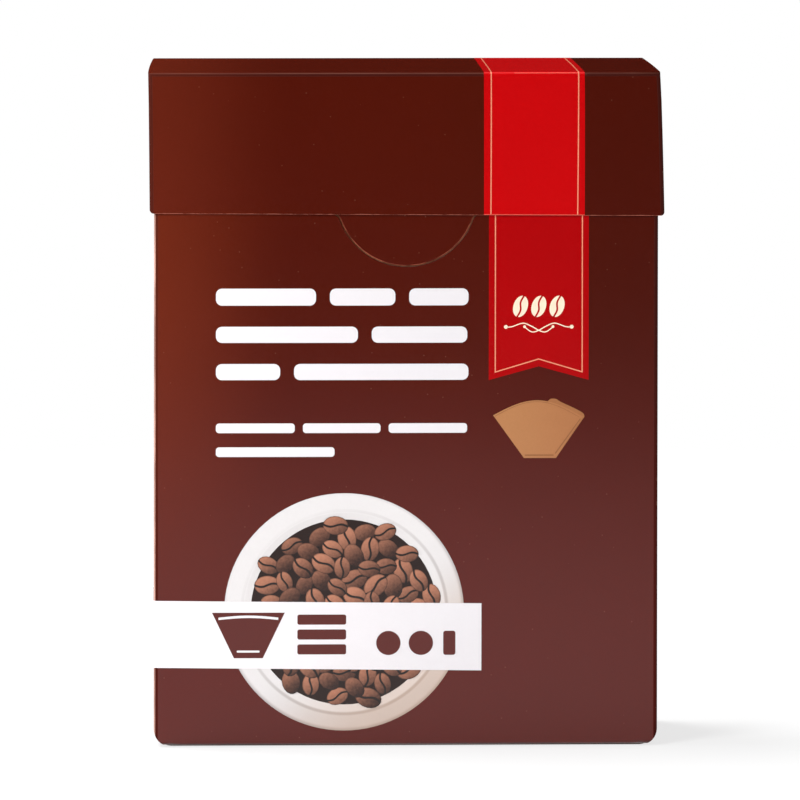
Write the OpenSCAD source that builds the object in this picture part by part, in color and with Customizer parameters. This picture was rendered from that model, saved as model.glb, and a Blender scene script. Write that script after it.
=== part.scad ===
// A folding carton of paper coffee filters with a tear-open flip-top lid.
// The front faces -Y, the width runs along X, and the origin is under the middle of the closed carton.
// The carton takes its size from the filters that stand in it on their sides.

/* [Filters] */
// Number of folded filters in the carton
filter_count = 80; // [40:1:120]
// Thickness of one folded filter in the stack
filter_t = 0.52; // [0.4:0.02:0.7]
// Width across a filter's open end, which stands upright in the carton
filter_w = 160; // [130:1:220]
// Height of a filter from its bottom seam to the top of its arc
filter_h = 100; // [85:1:140]
// Height of a filter at either end of its arc
filter_side_h = 74; // [50:1:80]
// Length of a filter's bottom seam
filter_base = 55; // [35:1:75]
// How far single filters stand out of the stack
filter_stray = 0.5; // [0.2:0.1:1]
// Width of a filter's crimped seams
seam_w = 5; // [3:0.5:8]
// Height of one crimp on the outermost filters
crimp_t = 0.15; // [0.05:0.05:0.3]
// Distance from crimp to crimp along a seam
crimp_pitch = 2.5; // [2:0.5:6]
// Length of one crimp along a seam
crimp_l = 1.2; // [0.6:0.1:1.8]

/* [Carton] */
// Thickness of the board
board_t = 0.5; // [0.3:0.05:0.8]
// Free width beside the filters
room_w = 23; // [8:1:40]
// Free depth before and behind the filters together
room_d = 2.4; // [1.6:0.2:12]
// Free height above the filters
room_h = 4.5; // [2:0.5:20]
// Gap between the filters and the floor that they stand on
seat_gap = 0.2; // [0.1:0.1:0.5]
// Gap between the filters' bottom seams and the carton's left side
stack_side_gap = 1; // [0.5:0.5:5]
// Outer radius of the creases between the panels
crease_r = 0.9; // [0.85:0.05:2]
// Radius of the softened lower corners, seen from the front
base_corner_r = 4.5; // [3:0.5:8]
// Length of the dust flaps inside the bottom
base_dust_l = 38; // [15:1:45]
// How far the outer bottom flap stops short of the front face
base_flap_setback = 2.5; // [1:0.5:8]
// Width of the glued seam flap inside the back panel
glue_flap_w = 12; // [6:1:16]

/* [Lid] */
// Height of the lid's front flap
lid_h = 35; // [25:1:60]
// How far the lid's edges reach past the cut in the carton's walls
lid_lap = 0.6; // [0.3:0.1:3]
// Gap between the lid's outer board and the board under it
ply_gap = 0.15; // [0.1:0.05:0.5]
// Gap between the lid's side flaps and the carton's sides
side_gap = 0.45; // [0.2:0.05:1]
// Radius of the front flap's lower corners
lid_corner_r = 1; // [0.5:0.5:4]
// Width of the cuts that part the lid from the carton
kerf = 0.3; // [0.2:0.05:0.6]
// How far the lid's side flaps and dust flaps stop short of the hinge crease
hinge_setback = 2.5; // [2:0.5:10]
// Length of the dust flaps under the lid's top panel
lid_dust_l = 30; // [12:1:40]
// Taper of every dust flap from its crease to its free end
dust_taper = 5; // [1:0.5:8]

/* [Thumb tab] */
// Width of the half-moon tab at the lid's lower edge
tab_w = 33; // [20:1:50]
// Depth of the tab below the lid's lower edge
tab_depth = 12.6; // [6:0.2:16]
// Radius of the corners where the tab meets the long cut
tab_fillet = 3.5; // [1:0.5:4]

/* [Hidden] */
$fn = 48;
// Facets of the large arcs
arc_fn = 96;
// Overshoot of the cutting shapes
over = 5;
// Turn from filter to filter, in degrees, of the two waves that set how far each stands out
stray_turns = [137.5, 61];

// Sizes of the carton, worked out from the filters
stack_d = filter_count * filter_t;
inner_w = filter_h + room_w;
inner_d = stack_d + room_d;
body_w = inner_w + 2 * board_t;
body_d = inner_d + 2 * board_t;
floor_z = 2 * board_t;
stack_z = floor_z + seat_gap;
ply_top_z = stack_z + filter_w + room_h + board_t;
carton_h = ply_top_z + ply_gap + board_t;

// Places from front to back
total_d = body_d + ply_gap + board_t;
lid_front_y = -total_d / 2;
back_y = total_d / 2;
front_y = back_y - body_d;
body_mid_y = (front_y + back_y) / 2;

// Lid
lid_w = body_w + 2 * (side_gap + board_t);
lid_z = carton_h - lid_h;
cut_z = lid_z + lid_lap + kerf;
cut_slope = (carton_h - cut_z) / body_d;

// Thumb tab
tab_r = (tab_w * tab_w / 4 + tab_depth * tab_depth) / (2 * tab_depth);
tab_z = lid_z - tab_depth + tab_r;
fillet_z = cut_z - tab_fillet;
fillet_x = sqrt(pow(tab_r + tab_fillet, 2) - pow(tab_z - fillet_z, 2));
fillet_share = tab_r / (tab_r + tab_fillet);

// Arc of a filter's open end
arc_rise = filter_h - filter_side_h;
arc_r = (filter_w * filter_w / 4 + arc_rise * arc_rise) / (2 * arc_rise);
side_run = (filter_w - filter_base) / 2;
side_angle = atan2(side_run, filter_side_h);
side_l = sqrt(side_run * side_run + filter_side_h * filter_side_h);

carton_colour = [0.36, 0.13, 0.08];
raw_board_colour = [0.62, 0.53, 0.44];
filter_colour = [0.78, 0.60, 0.40];

// Extrudes a side view, drawn as [y, z], along X
module along_x(length) {
    rotate([90, 0, 90]) linear_extrude(length, center = true) children();
}

// Extrudes a front view, drawn as [x, z], along Y
module along_y(length) {
    rotate([90, 0, 0]) linear_extrude(length, center = true) children();
}

// A rectangle with four round corners, centred
module soft_rect(w, d, r) {
    square([w - 2 * r, d], center = true);
    square([w, d - 2 * r], center = true);
    for (x = [-1, 1], y = [-1, 1])
        translate([x * (w / 2 - r), y * (d / 2 - r)]) circle(r);
}

// A rectangle from x0 to x1 and z0 to z1 whose two lower corners are round
module soft_base(x0, x1, z0, z1, r) {
    translate([x0, z0 + r]) square([x1 - x0, z1 - z0 - r]);
    translate([x0 + r, z0]) square([x1 - x0 - 2 * r, r]);
    for (x = [x0 + r, x1 - r]) translate([x, z0 + r]) circle(r);
}

// The body's side view: the outer bottom flap lies under the flap creased to the front panel
module body_side_view() {
    soft_base(front_y, back_y, board_t, carton_h, crease_r);
    intersection() {
        soft_base(front_y, back_y, 0, carton_h, crease_r);
        translate([front_y + base_flap_setback, 0]) square([body_d, crease_r + board_t]);
    }
}

// The outer block of the body, up to the top of the closed carton
module body_block() {
    intersection() {
        translate([0, body_mid_y, 0]) linear_extrude(carton_h) soft_rect(body_w, body_d, crease_r);
        along_y(total_d + 2 * over) soft_base(-body_w / 2, body_w / 2, 0, carton_h, base_corner_r);
        along_x(body_w + 2 * over) body_side_view();
    }
}

// The hollow inside the walls, open at the top
module body_hollow() {
    intersection() {
        translate([0, body_mid_y, floor_z]) linear_extrude(carton_h)
            soft_rect(inner_w, inner_d, crease_r - board_t);
        along_y(total_d + 2 * over)
            soft_base(-inner_w / 2, inner_w / 2, floor_z, carton_h + over, base_corner_r - board_t);
    }
}

// A pair of dust flaps that taper from the side panels towards each other
module dust_flaps(length, y0, y1, z) {
    for (side = [-1, 1])
        translate([0, 0, z]) linear_extrude(board_t) polygon([
            [side * (inner_w + board_t) / 2, y0],
            [side * (inner_w / 2 - length), y0 + dust_taper],
            [side * (inner_w / 2 - length), y1 - dust_taper],
            [side * (inner_w + board_t) / 2, y1]
        ]);
}

// Side view of all that belongs to the lid: what lies above the cut through the hinge crease
module lid_side_view(drop) {
    polygon([
        [lid_front_y - over, cut_z - drop],
        [front_y, cut_z - drop],
        [back_y, carton_h - drop],
        [back_y + over, carton_h - drop],
        [back_y + over, carton_h + over],
        [lid_front_y - over, carton_h + over]
    ]);
}

// Front view of the long cut with the half-moon tab below it, grown all round by the given amount
module tab_front_view(grow) {
    translate([-body_w, cut_z - grow]) square([2 * body_w, carton_h]);
    translate([0, tab_z]) circle(tab_r + grow, $fn = arc_fn);
    for (side = [-1, 1]) difference() {
        polygon([
            [0, cut_z - grow],
            [side * fillet_x, cut_z - grow],
            [side * fillet_x, fillet_z],
            [side * fillet_x * fillet_share, tab_z + (fillet_z - tab_z) * fillet_share],
            [0, fillet_z]
        ]);
        translate([side * fillet_x, fillet_z]) circle(tab_fillet - grow);
    }
}

// The body: four walls, the glued bottom and the seam flap, folded from one board
module carton_body() {
    color(carton_colour) difference() {
        union() {
            difference() {
                body_block();
                body_hollow();
            }
            intersection() {
                dust_flaps(base_dust_l, front_y + board_t, back_y - board_t, floor_z);
                body_block();
            }
            translate([inner_w / 2 - glue_flap_w, back_y - 2 * board_t, floor_z])
                cube([glue_flap_w, board_t, lid_z - floor_z]);
        }
        along_x(body_w + 2 * over) lid_side_view(kerf);
        translate([-body_w, front_y - over, carton_h - board_t - kerf]) cube([2 * body_w, 2 * total_d, over]);
        translate([0, front_y, 0]) along_y(2 * board_t + kerf) tab_front_view(kerf);
    }
}

// The lid's inner board: a strip along the front with the thumb tab, two side gussets and two dust flaps
module tear_strip() {
    color(raw_board_colour) {
        difference() {
            intersection() {
                body_block();
                translate([-body_w, lid_front_y - over, 0]) cube([2 * body_w, 2 * total_d, ply_top_z]);
                union() {
                    intersection() {
                        along_x(body_w + over) lid_side_view(0);
                        translate([-body_w / 2, front_y, 0]) cube([body_w, body_d - hinge_setback, carton_h]);
                    }
                    translate([0, front_y, 0]) along_y(2 * board_t) tab_front_view(0);
                }
            }
            body_hollow();
        }
        dust_flaps(lid_dust_l, front_y + 2 * board_t, back_y - hinge_setback, ply_top_z - board_t);
    }
}

// Side view of the lid's outer board, moved inwards by the given amount
module cover_side_view(inset) {
    r = crease_r - inset;
    y0 = lid_front_y + inset;
    z1 = carton_h - inset;
    translate([y0, lid_z - over]) square([total_d + over, lid_h + over - inset - r]);
    translate([y0 + r, z1 - r]) square([total_d + over - r, r]);
    translate([y0 + r, z1 - r]) circle(r);
}

// Block of the lid's outer board, moved inwards by the given amount
module cover_block(inset) {
    w = lid_w - 2 * inset;
    d = 2 * total_d;
    intersection() {
        along_x(w) cover_side_view(inset);
        translate([0, lid_front_y + inset + d / 2, lid_z - over]) linear_extrude(lid_h + 2 * over)
            soft_rect(w, d, crease_r - inset);
    }
}

// The lid's outer board: top panel, front flap and two side flaps with slanted lower edges
module lid_cover() {
    color(carton_colour) difference() {
        intersection() {
            cover_block(0);
            along_y(2 * total_d) soft_base(-lid_w / 2, lid_w / 2, lid_z, carton_h + over, lid_corner_r);
            translate([-lid_w, lid_front_y - over, 0]) cube([2 * lid_w, total_d + over, 2 * carton_h]);
        }
        cover_block(board_t);
        along_x(lid_w + over) polygon([
            [lid_front_y + crease_r, lid_z - over],
            [lid_front_y + crease_r, lid_z],
            [front_y + crease_r, lid_z],
            [back_y - hinge_setback, carton_h - hinge_setback * cut_slope - lid_lap - kerf],
            [back_y - hinge_setback, carton_h - board_t],
            [back_y + over, carton_h - board_t],
            [back_y + over, lid_z - over]
        ]);
    }
}

// A filter lying flat, its bottom seam along the left edge and its arc to the right
module filter_outline(inset) {
    run = side_run / filter_side_h;
    intersection() {
        polygon([
            [inset, -filter_base / 2 - inset * run + inset],
            [filter_h, -filter_base / 2 - filter_h * run + inset],
            [filter_h, filter_base / 2 + filter_h * run - inset],
            [inset, filter_base / 2 + inset * run - inset]
        ]);
        translate([filter_h - arc_r, 0]) circle(arc_r - inset, $fn = arc_fn);
        translate([0, -filter_w / 2 + inset]) square([filter_h, filter_w - 2 * inset]);
    }
}

// How far a filter stands back from the stack's outline
function stray(i) = filter_stray * (1 + sin(i * stray_turns[0]) * cos(i * stray_turns[1])) / 2;

// Crimps in a row along X, below the line of a filter's edge and right through the stack
module crimp_row(length, inset) {
    for (s = [crimp_pitch : crimp_pitch : length - crimp_pitch])
        translate([s, -crimp_t, -seam_w - inset]) cube([crimp_l, stack_d + 2 * crimp_t, seam_w]);
}

// The filters, side by side from front to back, pressed into one stack and crimped at two seams
module filter_stack() {
    color(filter_colour)
    translate([-inner_w / 2 + stack_side_gap, body_mid_y - stack_d / 2, stack_z + filter_w / 2]) {
        for (i = [0 : filter_count - 1])
            translate([0, (i + 1) * filter_t, 0]) rotate([90, 0, 0])
                linear_extrude(filter_t) filter_outline(stray(i));
        intersection() {
            union() {
                translate([0, 0, filter_base / 2]) rotate([0, -side_angle, 0]) crimp_row(side_l, crimp_l);
                translate([0, 0, filter_base / 2]) rotate([0, 90, 0]) mirror([0, 0, 1])
                    crimp_row(filter_base, crimp_l);
            }
            translate([0, stack_d + crimp_t, 0]) rotate([90, 0, 0])
                linear_extrude(stack_d + 2 * crimp_t) filter_outline(filter_stray + crimp_l / 2);
        }
    }
}

carton_body();
filter_stack();
lid_cover();
tear_strip();
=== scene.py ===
"""A folding carton of paper coffee filters, dressed for the studio.

The carton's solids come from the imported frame. Each board is copied from its solid, cut into a grid and
given the slight bow of real board; the print lies on it as thin layers of ink that follow the same bow.
Sizes in this file are in millimetres, with X to the right, -Y towards the front and Z up. The studio and
the wear masks of the finishes are in metres.
"""

from __future__ import annotations

import logging
import math
from dataclasses import dataclass, field
from enum import Enum
from typing import Iterable, Sequence

import bmesh
import bpy
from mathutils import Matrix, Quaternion, Vector
from mathutils.bvhtree import BVHTree

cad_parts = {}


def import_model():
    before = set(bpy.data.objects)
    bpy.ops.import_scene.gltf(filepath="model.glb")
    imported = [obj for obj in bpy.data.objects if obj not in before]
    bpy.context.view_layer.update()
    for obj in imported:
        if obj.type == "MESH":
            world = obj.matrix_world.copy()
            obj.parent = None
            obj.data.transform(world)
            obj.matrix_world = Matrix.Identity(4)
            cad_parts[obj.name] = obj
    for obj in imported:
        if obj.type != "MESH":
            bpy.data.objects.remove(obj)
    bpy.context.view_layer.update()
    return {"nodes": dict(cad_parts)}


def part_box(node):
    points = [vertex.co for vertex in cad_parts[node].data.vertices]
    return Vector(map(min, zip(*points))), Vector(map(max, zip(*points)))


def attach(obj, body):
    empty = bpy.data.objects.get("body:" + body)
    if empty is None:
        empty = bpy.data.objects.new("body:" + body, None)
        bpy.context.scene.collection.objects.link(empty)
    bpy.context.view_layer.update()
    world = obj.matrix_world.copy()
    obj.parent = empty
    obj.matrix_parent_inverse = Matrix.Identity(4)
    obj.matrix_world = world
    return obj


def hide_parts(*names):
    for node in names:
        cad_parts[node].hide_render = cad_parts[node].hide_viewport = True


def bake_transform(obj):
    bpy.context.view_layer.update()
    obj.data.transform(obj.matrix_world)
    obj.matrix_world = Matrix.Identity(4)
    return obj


LOG = logging.getLogger("coffee_filter_carton")

MM = 0.001
Point = tuple[float, float]
Loop = list[Point]
Colour = tuple[float, float, float, float]
REST_PLACE = "rest_place"
CREASE_R = 0.9
CREASE_ARC = CREASE_R * math.pi / 2
CREASE_CUTS = 8
PLATE_MIDDLE = (-15.2, 33.5)
PLATE_R = 29.5
HEAP_R = 23.0
SEAM_HALF = 27.5
FILTER_SIDE_H = 74.0
FAR = 400.0
RELIEF_DEPTH = 0.00006
GOLDEN_ANGLE = 2.399963
SOCKET_KINDS = {
    "Place": "NodeSocketVector",
    "Tone": "NodeSocketColor",
    "Geometry": "NodeSocketGeometry",
    "Count": "NodeSocketInt",
    "Seed": "NodeSocketInt",
    "Material": "NodeSocketMaterial",
}


class Surface(Enum):
    """The three surfaces of a piece of board, numbered as its material slots."""

    PRINT = 0
    CORE = 1
    BACK = 2


class Body(Enum):
    """The bodies that pieces ride on."""

    CARTON = "carton"
    LID = "lid"


def srgb(red: int, green: int, blue: int) -> Colour:
    """Turn a colour of three 8-bit sRGB values into a linear one.

    Args:
        red: Red, from 0 to 255.
        green: Green, from 0 to 255.
        blue: Blue, from 0 to 255.

    Returns:
        The linear colour with an alpha of one.
    """

    def linear(value: int) -> float:
        """Turn one 8-bit value into a linear one."""
        share = value / 255.0
        return share / 12.92 if share <= 0.04045 else ((share + 0.055) / 1.055) ** 2.4

    return linear(red), linear(green), linear(blue), 1.0


def smooth_step(low: float, high: float, value: float) -> float:
    """Return a smooth rise from 0 at low to 1 at high."""
    share = min(1.0, max(0.0, (value - low) / (high - low)))
    return share * share * (3.0 - 2.0 * share)


def to_object(name: str, mesh: bmesh.types.BMesh,
              materials: Iterable[bpy.types.Material]) -> bpy.types.Object:
    """Put a mesh into the scene as an object, and free it.

    Args:
        name: Name of the object and its mesh.
        mesh: The mesh, in metres.
        materials: The materials of its slots.

    Returns:
        The new object.
    """
    data = bpy.data.meshes.new(name)
    mesh.to_mesh(data)
    mesh.free()
    for material in materials:
        data.materials.append(material)
    piece = bpy.data.objects.new(name, data)
    bpy.context.scene.collection.objects.link(piece)
    return piece


@dataclass(frozen=True)
class CartonFrame:
    """Places of the carton's panels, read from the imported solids."""

    half_w: float
    front_y: float
    back_y: float
    lid_half_w: float
    lid_front_y: float
    lid_z: float
    top_z: float
    strip_top_z: float
    stack_low: Vector
    stack_high: Vector

    @classmethod
    def read(cls) -> CartonFrame:
        """Read the boxes of the four solids.

        Returns:
            The places of the outer faces and the corners of the stack of filters.
        """
        body, lid, strip, stack = (
            [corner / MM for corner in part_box(name)]
            for name in ("carton_body", "lid_cover", "tear_strip", "filter_stack"))
        return cls(half_w=body[1].x, front_y=body[0].y, back_y=body[1].y, lid_half_w=lid[1].x,
                   lid_front_y=lid[0].y, lid_z=lid[0].z, top_z=lid[1].z, strip_top_z=strip[1].z,
                   stack_low=stack[0], stack_high=stack[1])


@dataclass(frozen=True)
class TabCut:
    """The half-moon tab's outline: its arc, and the round corners where it meets the long cut."""

    lid_z: float
    width: float = 33.0
    depth: float = 12.6
    corner_r: float = 3.5
    lap: float = 0.9

    @property
    def radius(self) -> float:
        """Radius of the half-moon."""
        return (self.width**2 / 4 + self.depth**2) / (2 * self.depth)

    @property
    def middle_z(self) -> float:
        """Height of the half-moon's middle."""
        return self.lid_z - self.depth + self.radius

    @property
    def corner_z(self) -> float:
        """Height of the corners' middle."""
        return self.lid_z + self.lap - self.corner_r

    @property
    def corner_x(self) -> float:
        """Distance of the corners' middle from the carton's middle."""
        return math.sqrt((self.radius + self.corner_r) ** 2 - (self.middle_z - self.corner_z) ** 2)

    @property
    def joint_z(self) -> float:
        """Height at which the half-moon runs into its corners."""
        share = self.radius / (self.radius + self.corner_r)
        return self.middle_z + (self.corner_z - self.middle_z) * share


@dataclass(frozen=True)
class Bow:
    """The slight bow of the panels and the lean of the lid, as a shift of every point.

    The boards that lie on each other share one shift, so the gaps between them stay as they are.
    """

    frame: CartonFrame
    front: float = 0.45
    back: float = 0.35
    side: float = 0.03
    side_from: float = 0.4
    lid_lean: float = 0.40
    corner_flare: float = 0.75
    flare_from: float = 38.0
    flare_power: float = 0.7
    lid_skew: float = 0.55
    hinge_taper: float = 0.95
    back_pinch: float = 0.5
    top_pinch: float = 0.4
    top_skew: float = 0.65
    top_bulge: float = 0.2
    foot_spread: float = 0.15
    edge_lift: float = -0.05
    edge_slant: float = 0.36

    def moved(self, point: Vector, cover: bool = False) -> Vector:
        """Shift one point.

        Args:
            point: The point at rest, in millimetres.
            cover: Whether the point is on the lid's outer board, which leans and flares.

        Returns:
            The shifted point.
        """
        frame = self.frame
        mid_y = (frame.front_y + frame.back_y) / 2
        half_d = (frame.back_y - frame.front_y) / 2
        rise = math.sin(math.pi * min(1.0, max(0.0, point.z / frame.top_z)))
        across = max(0.0, 1.0 - (point.x / frame.half_w) ** 2)
        deep = (point.y - mid_y) / half_d
        along = max(0.0, 1.0 - deep * deep)
        shift_y = rise * across * (self.back * max(0.0, deep) - self.front * max(0.0, -deep))
        share = smooth_step(self.side_from, 1.0, abs(point.x) / frame.half_w)
        shift_x = math.copysign(self.side * rise * along * share, point.x)
        out = point.x / frame.half_w
        taper = min(1.0, max(0.0, (deep + 1.0) / 2))
        high = smooth_step(frame.lid_z, frame.top_z, point.z)
        shift_x -= taper * (self.back_pinch * out + high * (self.top_pinch * out + self.top_skew))
        shift_x += self.top_bulge * high * along * out
        shift_x += self.foot_spread * (1.0 - 2.0 * point.z / frame.top_z) * out
        shift_z = 0.0
        if cover:
            shift_y += min(0.0, frame.back_y - CREASE_R - point.y)
            drop = max(0.0, (frame.top_z - point.z) / (frame.top_z - frame.lid_z))
            corner = smooth_step(self.flare_from, frame.lid_half_w, point.x)
            shift_x += drop**self.flare_power * (self.lid_lean + self.corner_flare * corner)
            shift_x -= self.hinge_taper * taper * point.x / frame.lid_half_w
            shift_x -= self.lid_skew * (1.0 - taper)
            shift_z = drop * (self.edge_lift - self.edge_slant * point.x / frame.lid_half_w)
        return Vector((point.x + shift_x, point.y + shift_y, point.z + shift_z))


class Value:
    """A result on its way through a node tree, which takes the usual signs of arithmetic."""

    def __init__(self, graph: Graph, socket: bpy.types.NodeSocket) -> None:
        """Keep the socket and the graph that it stands in."""
        self.graph, self.socket = graph, socket

    def __add__(self, other: object) -> Value:
        """Add a value."""
        return self.graph.math("ADD", self, other)

    def __sub__(self, other: object) -> Value:
        """Subtract a value."""
        return self.graph.math("SUBTRACT", self, other)

    def __rsub__(self, other: object) -> Value:
        """Subtract this from a plain number."""
        return self.graph.math("SUBTRACT", other, self)

    def __mul__(self, other: object) -> Value:
        """Multiply by a value."""
        return self.graph.math("MULTIPLY", self, other)

    def __truediv__(self, other: object) -> Value:
        """Divide by a value."""
        return self.graph.math("DIVIDE", self, other)

    def __abs__(self) -> Value:
        """Return the size without its sign."""
        return self.graph.math("ABSOLUTE", self)

    def least(self, other: object) -> Value:
        """Return the smaller of two values."""
        return self.graph.math("MINIMUM", self, other)

    def most(self, other: object) -> Value:
        """Return the larger of two values."""
        return self.graph.math("MAXIMUM", self, other)


class Graph:
    """A short way to write a node tree."""

    def __init__(self, tree: bpy.types.NodeTree) -> None:
        """Keep the tree that the nodes go into."""
        self.tree = tree

    def add(self, kind: str, **settings: object) -> bpy.types.Node:
        """Add a node and set its properties.

        Args:
            kind: The node's type name.
            **settings: Properties of the node, by name.

        Returns:
            The new node.
        """
        node = self.tree.nodes.new(kind)
        for name, value in settings.items():
            setattr(node, name, value)
        return node

    def feed(self, socket: bpy.types.NodeSocket, value: object) -> None:
        """Link a socket to a result of another node, or set its plain value.

        Args:
            socket: The input to feed.
            value: The result, or a plain number, colour, vector, name or material.
        """
        if isinstance(value, Value):
            self.tree.links.new(value.socket, socket)
        else:
            socket.default_value = value

    def put(self, kind: str, result: str | int = 0, feeds: dict[str | int, object] | None = None,
            **settings: object) -> Value:
        """Add a node, feed its inputs and return one of its results.

        Args:
            kind: The node's type name.
            result: Name or number of the result.
            feeds: Values of the inputs, by name or number.
            **settings: Properties of the node, by name.

        Returns:
            The result.
        """
        node = self.add(kind, **settings)
        for key, value in (feeds or {}).items():
            self.feed(node.inputs[key], value)
        return Value(self, node.outputs[result])

    def math(self, operation: str, a: object, b: object = 0.0, clamp: bool = False) -> Value:
        """Add a Math node and return its result."""
        return self.put("ShaderNodeMath", 0, {0: a, 1: b}, operation=operation, use_clamp=clamp)

    def ramp(self, value: object, low: float, high: float, start: float = 0.0, end: float = 1.0) -> Value:
        """Map a value smoothly from one range to another and clamp it."""
        feeds = dict(enumerate((value, low, high, start, end)))
        return self.put("ShaderNodeMapRange", 0, feeds, interpolation_type="SMOOTHSTEP")

    def span(self, value: object, low: float, high: float, start: float = 0.0, end: float = 1.0) -> Value:
        """Map a length between two places in millimetres smoothly to another range."""
        return self.ramp(value, low * MM, high * MM, start, end)

    def mix(self, factor: object, a: object, b: object, blend: str = "MIX") -> Value:
        """Mix two colours and return the result."""
        return self.put("ShaderNodeMix", 2, {0: factor, 6: a, 7: b}, data_type="RGBA", blend_type=blend)

    def noise(self, place: object, scale: float, detail: float = 3.0, rough: float = 0.55,
              distortion: float = 0.0) -> Value:
        """Add a noise texture.

        Args:
            place: Where the texture is read.
            scale: Its scale.
            detail: Number of finer layers.
            rough: Share of each finer layer.
            distortion: How much the texture is warped.

        Returns:
            The value, from 0 to 1.
        """
        feeds = {"Vector": place, "Scale": scale, "Detail": detail, "Roughness": rough,
                 "Distortion": distortion}
        return self.put("ShaderNodeTexNoise", "Fac", feeds)

    def stretch(self, place: object, scale: Sequence[float], turn: Sequence[float] = (0, 0, 0)) -> Value:
        """Scale and turn a place with a Mapping node."""
        return self.put("ShaderNodeMapping", 0, {"Vector": place, "Scale": scale, "Rotation": turn})

    def parts(self, place: object) -> list[Value]:
        """Split a place into its three coordinates.

        Args:
            place: The place.

        Returns:
            Its x, y and z.
        """
        node = self.add("ShaderNodeSeparateXYZ")
        self.feed(node.inputs[0], place)
        return [Value(self, socket) for socket in node.outputs]

    def effect(self, group: NodeGroup, **inputs: object) -> dict[str, Value]:
        """Place a node group and feed its inputs.

        Args:
            group: The group.
            **inputs: Values of its inputs, by name in small letters.

        Returns:
            The group's results by name.
        """
        node = self.add("ShaderNodeGroup", node_tree=group.tree)
        for name, value in inputs.items():
            self.feed(node.inputs[name.replace("_", " ").title()], value)
        return {socket.name: Value(self, socket) for socket in node.outputs}


class NodeGroup(Graph):
    """A node tree with named inputs and results."""

    def __init__(self, name: str, kind: str, inputs: Sequence[str], results: Sequence[str]) -> None:
        """Make the tree and its two ends.

        Args:
            name: The group's name.
            kind: Type name of the tree.
            inputs: Names of the inputs, which are numbers unless SOCKET_KINDS says otherwise.
            results: Names of the results, likewise.
        """
        super().__init__(bpy.data.node_groups.new(name, kind))
        for in_out, labels in (("INPUT", inputs), ("OUTPUT", results)):
            for label in labels:
                self.tree.interface.new_socket(name=label, in_out=in_out,
                                               socket_type=SOCKET_KINDS.get(label, "NodeSocketFloat"))
        given = self.add("NodeGroupInput").outputs
        self.given = {label: Value(self, given[label]) for label in inputs}
        self.end = self.add("NodeGroupOutput")

    def close(self, **results: object) -> NodeGroup:
        """Feed the results, which ends the group.

        Args:
            **results: The results by name.

        Returns:
            The group itself.
        """
        for label, value in results.items():
            self.feed(self.end.inputs[label], value)
        return self


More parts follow.
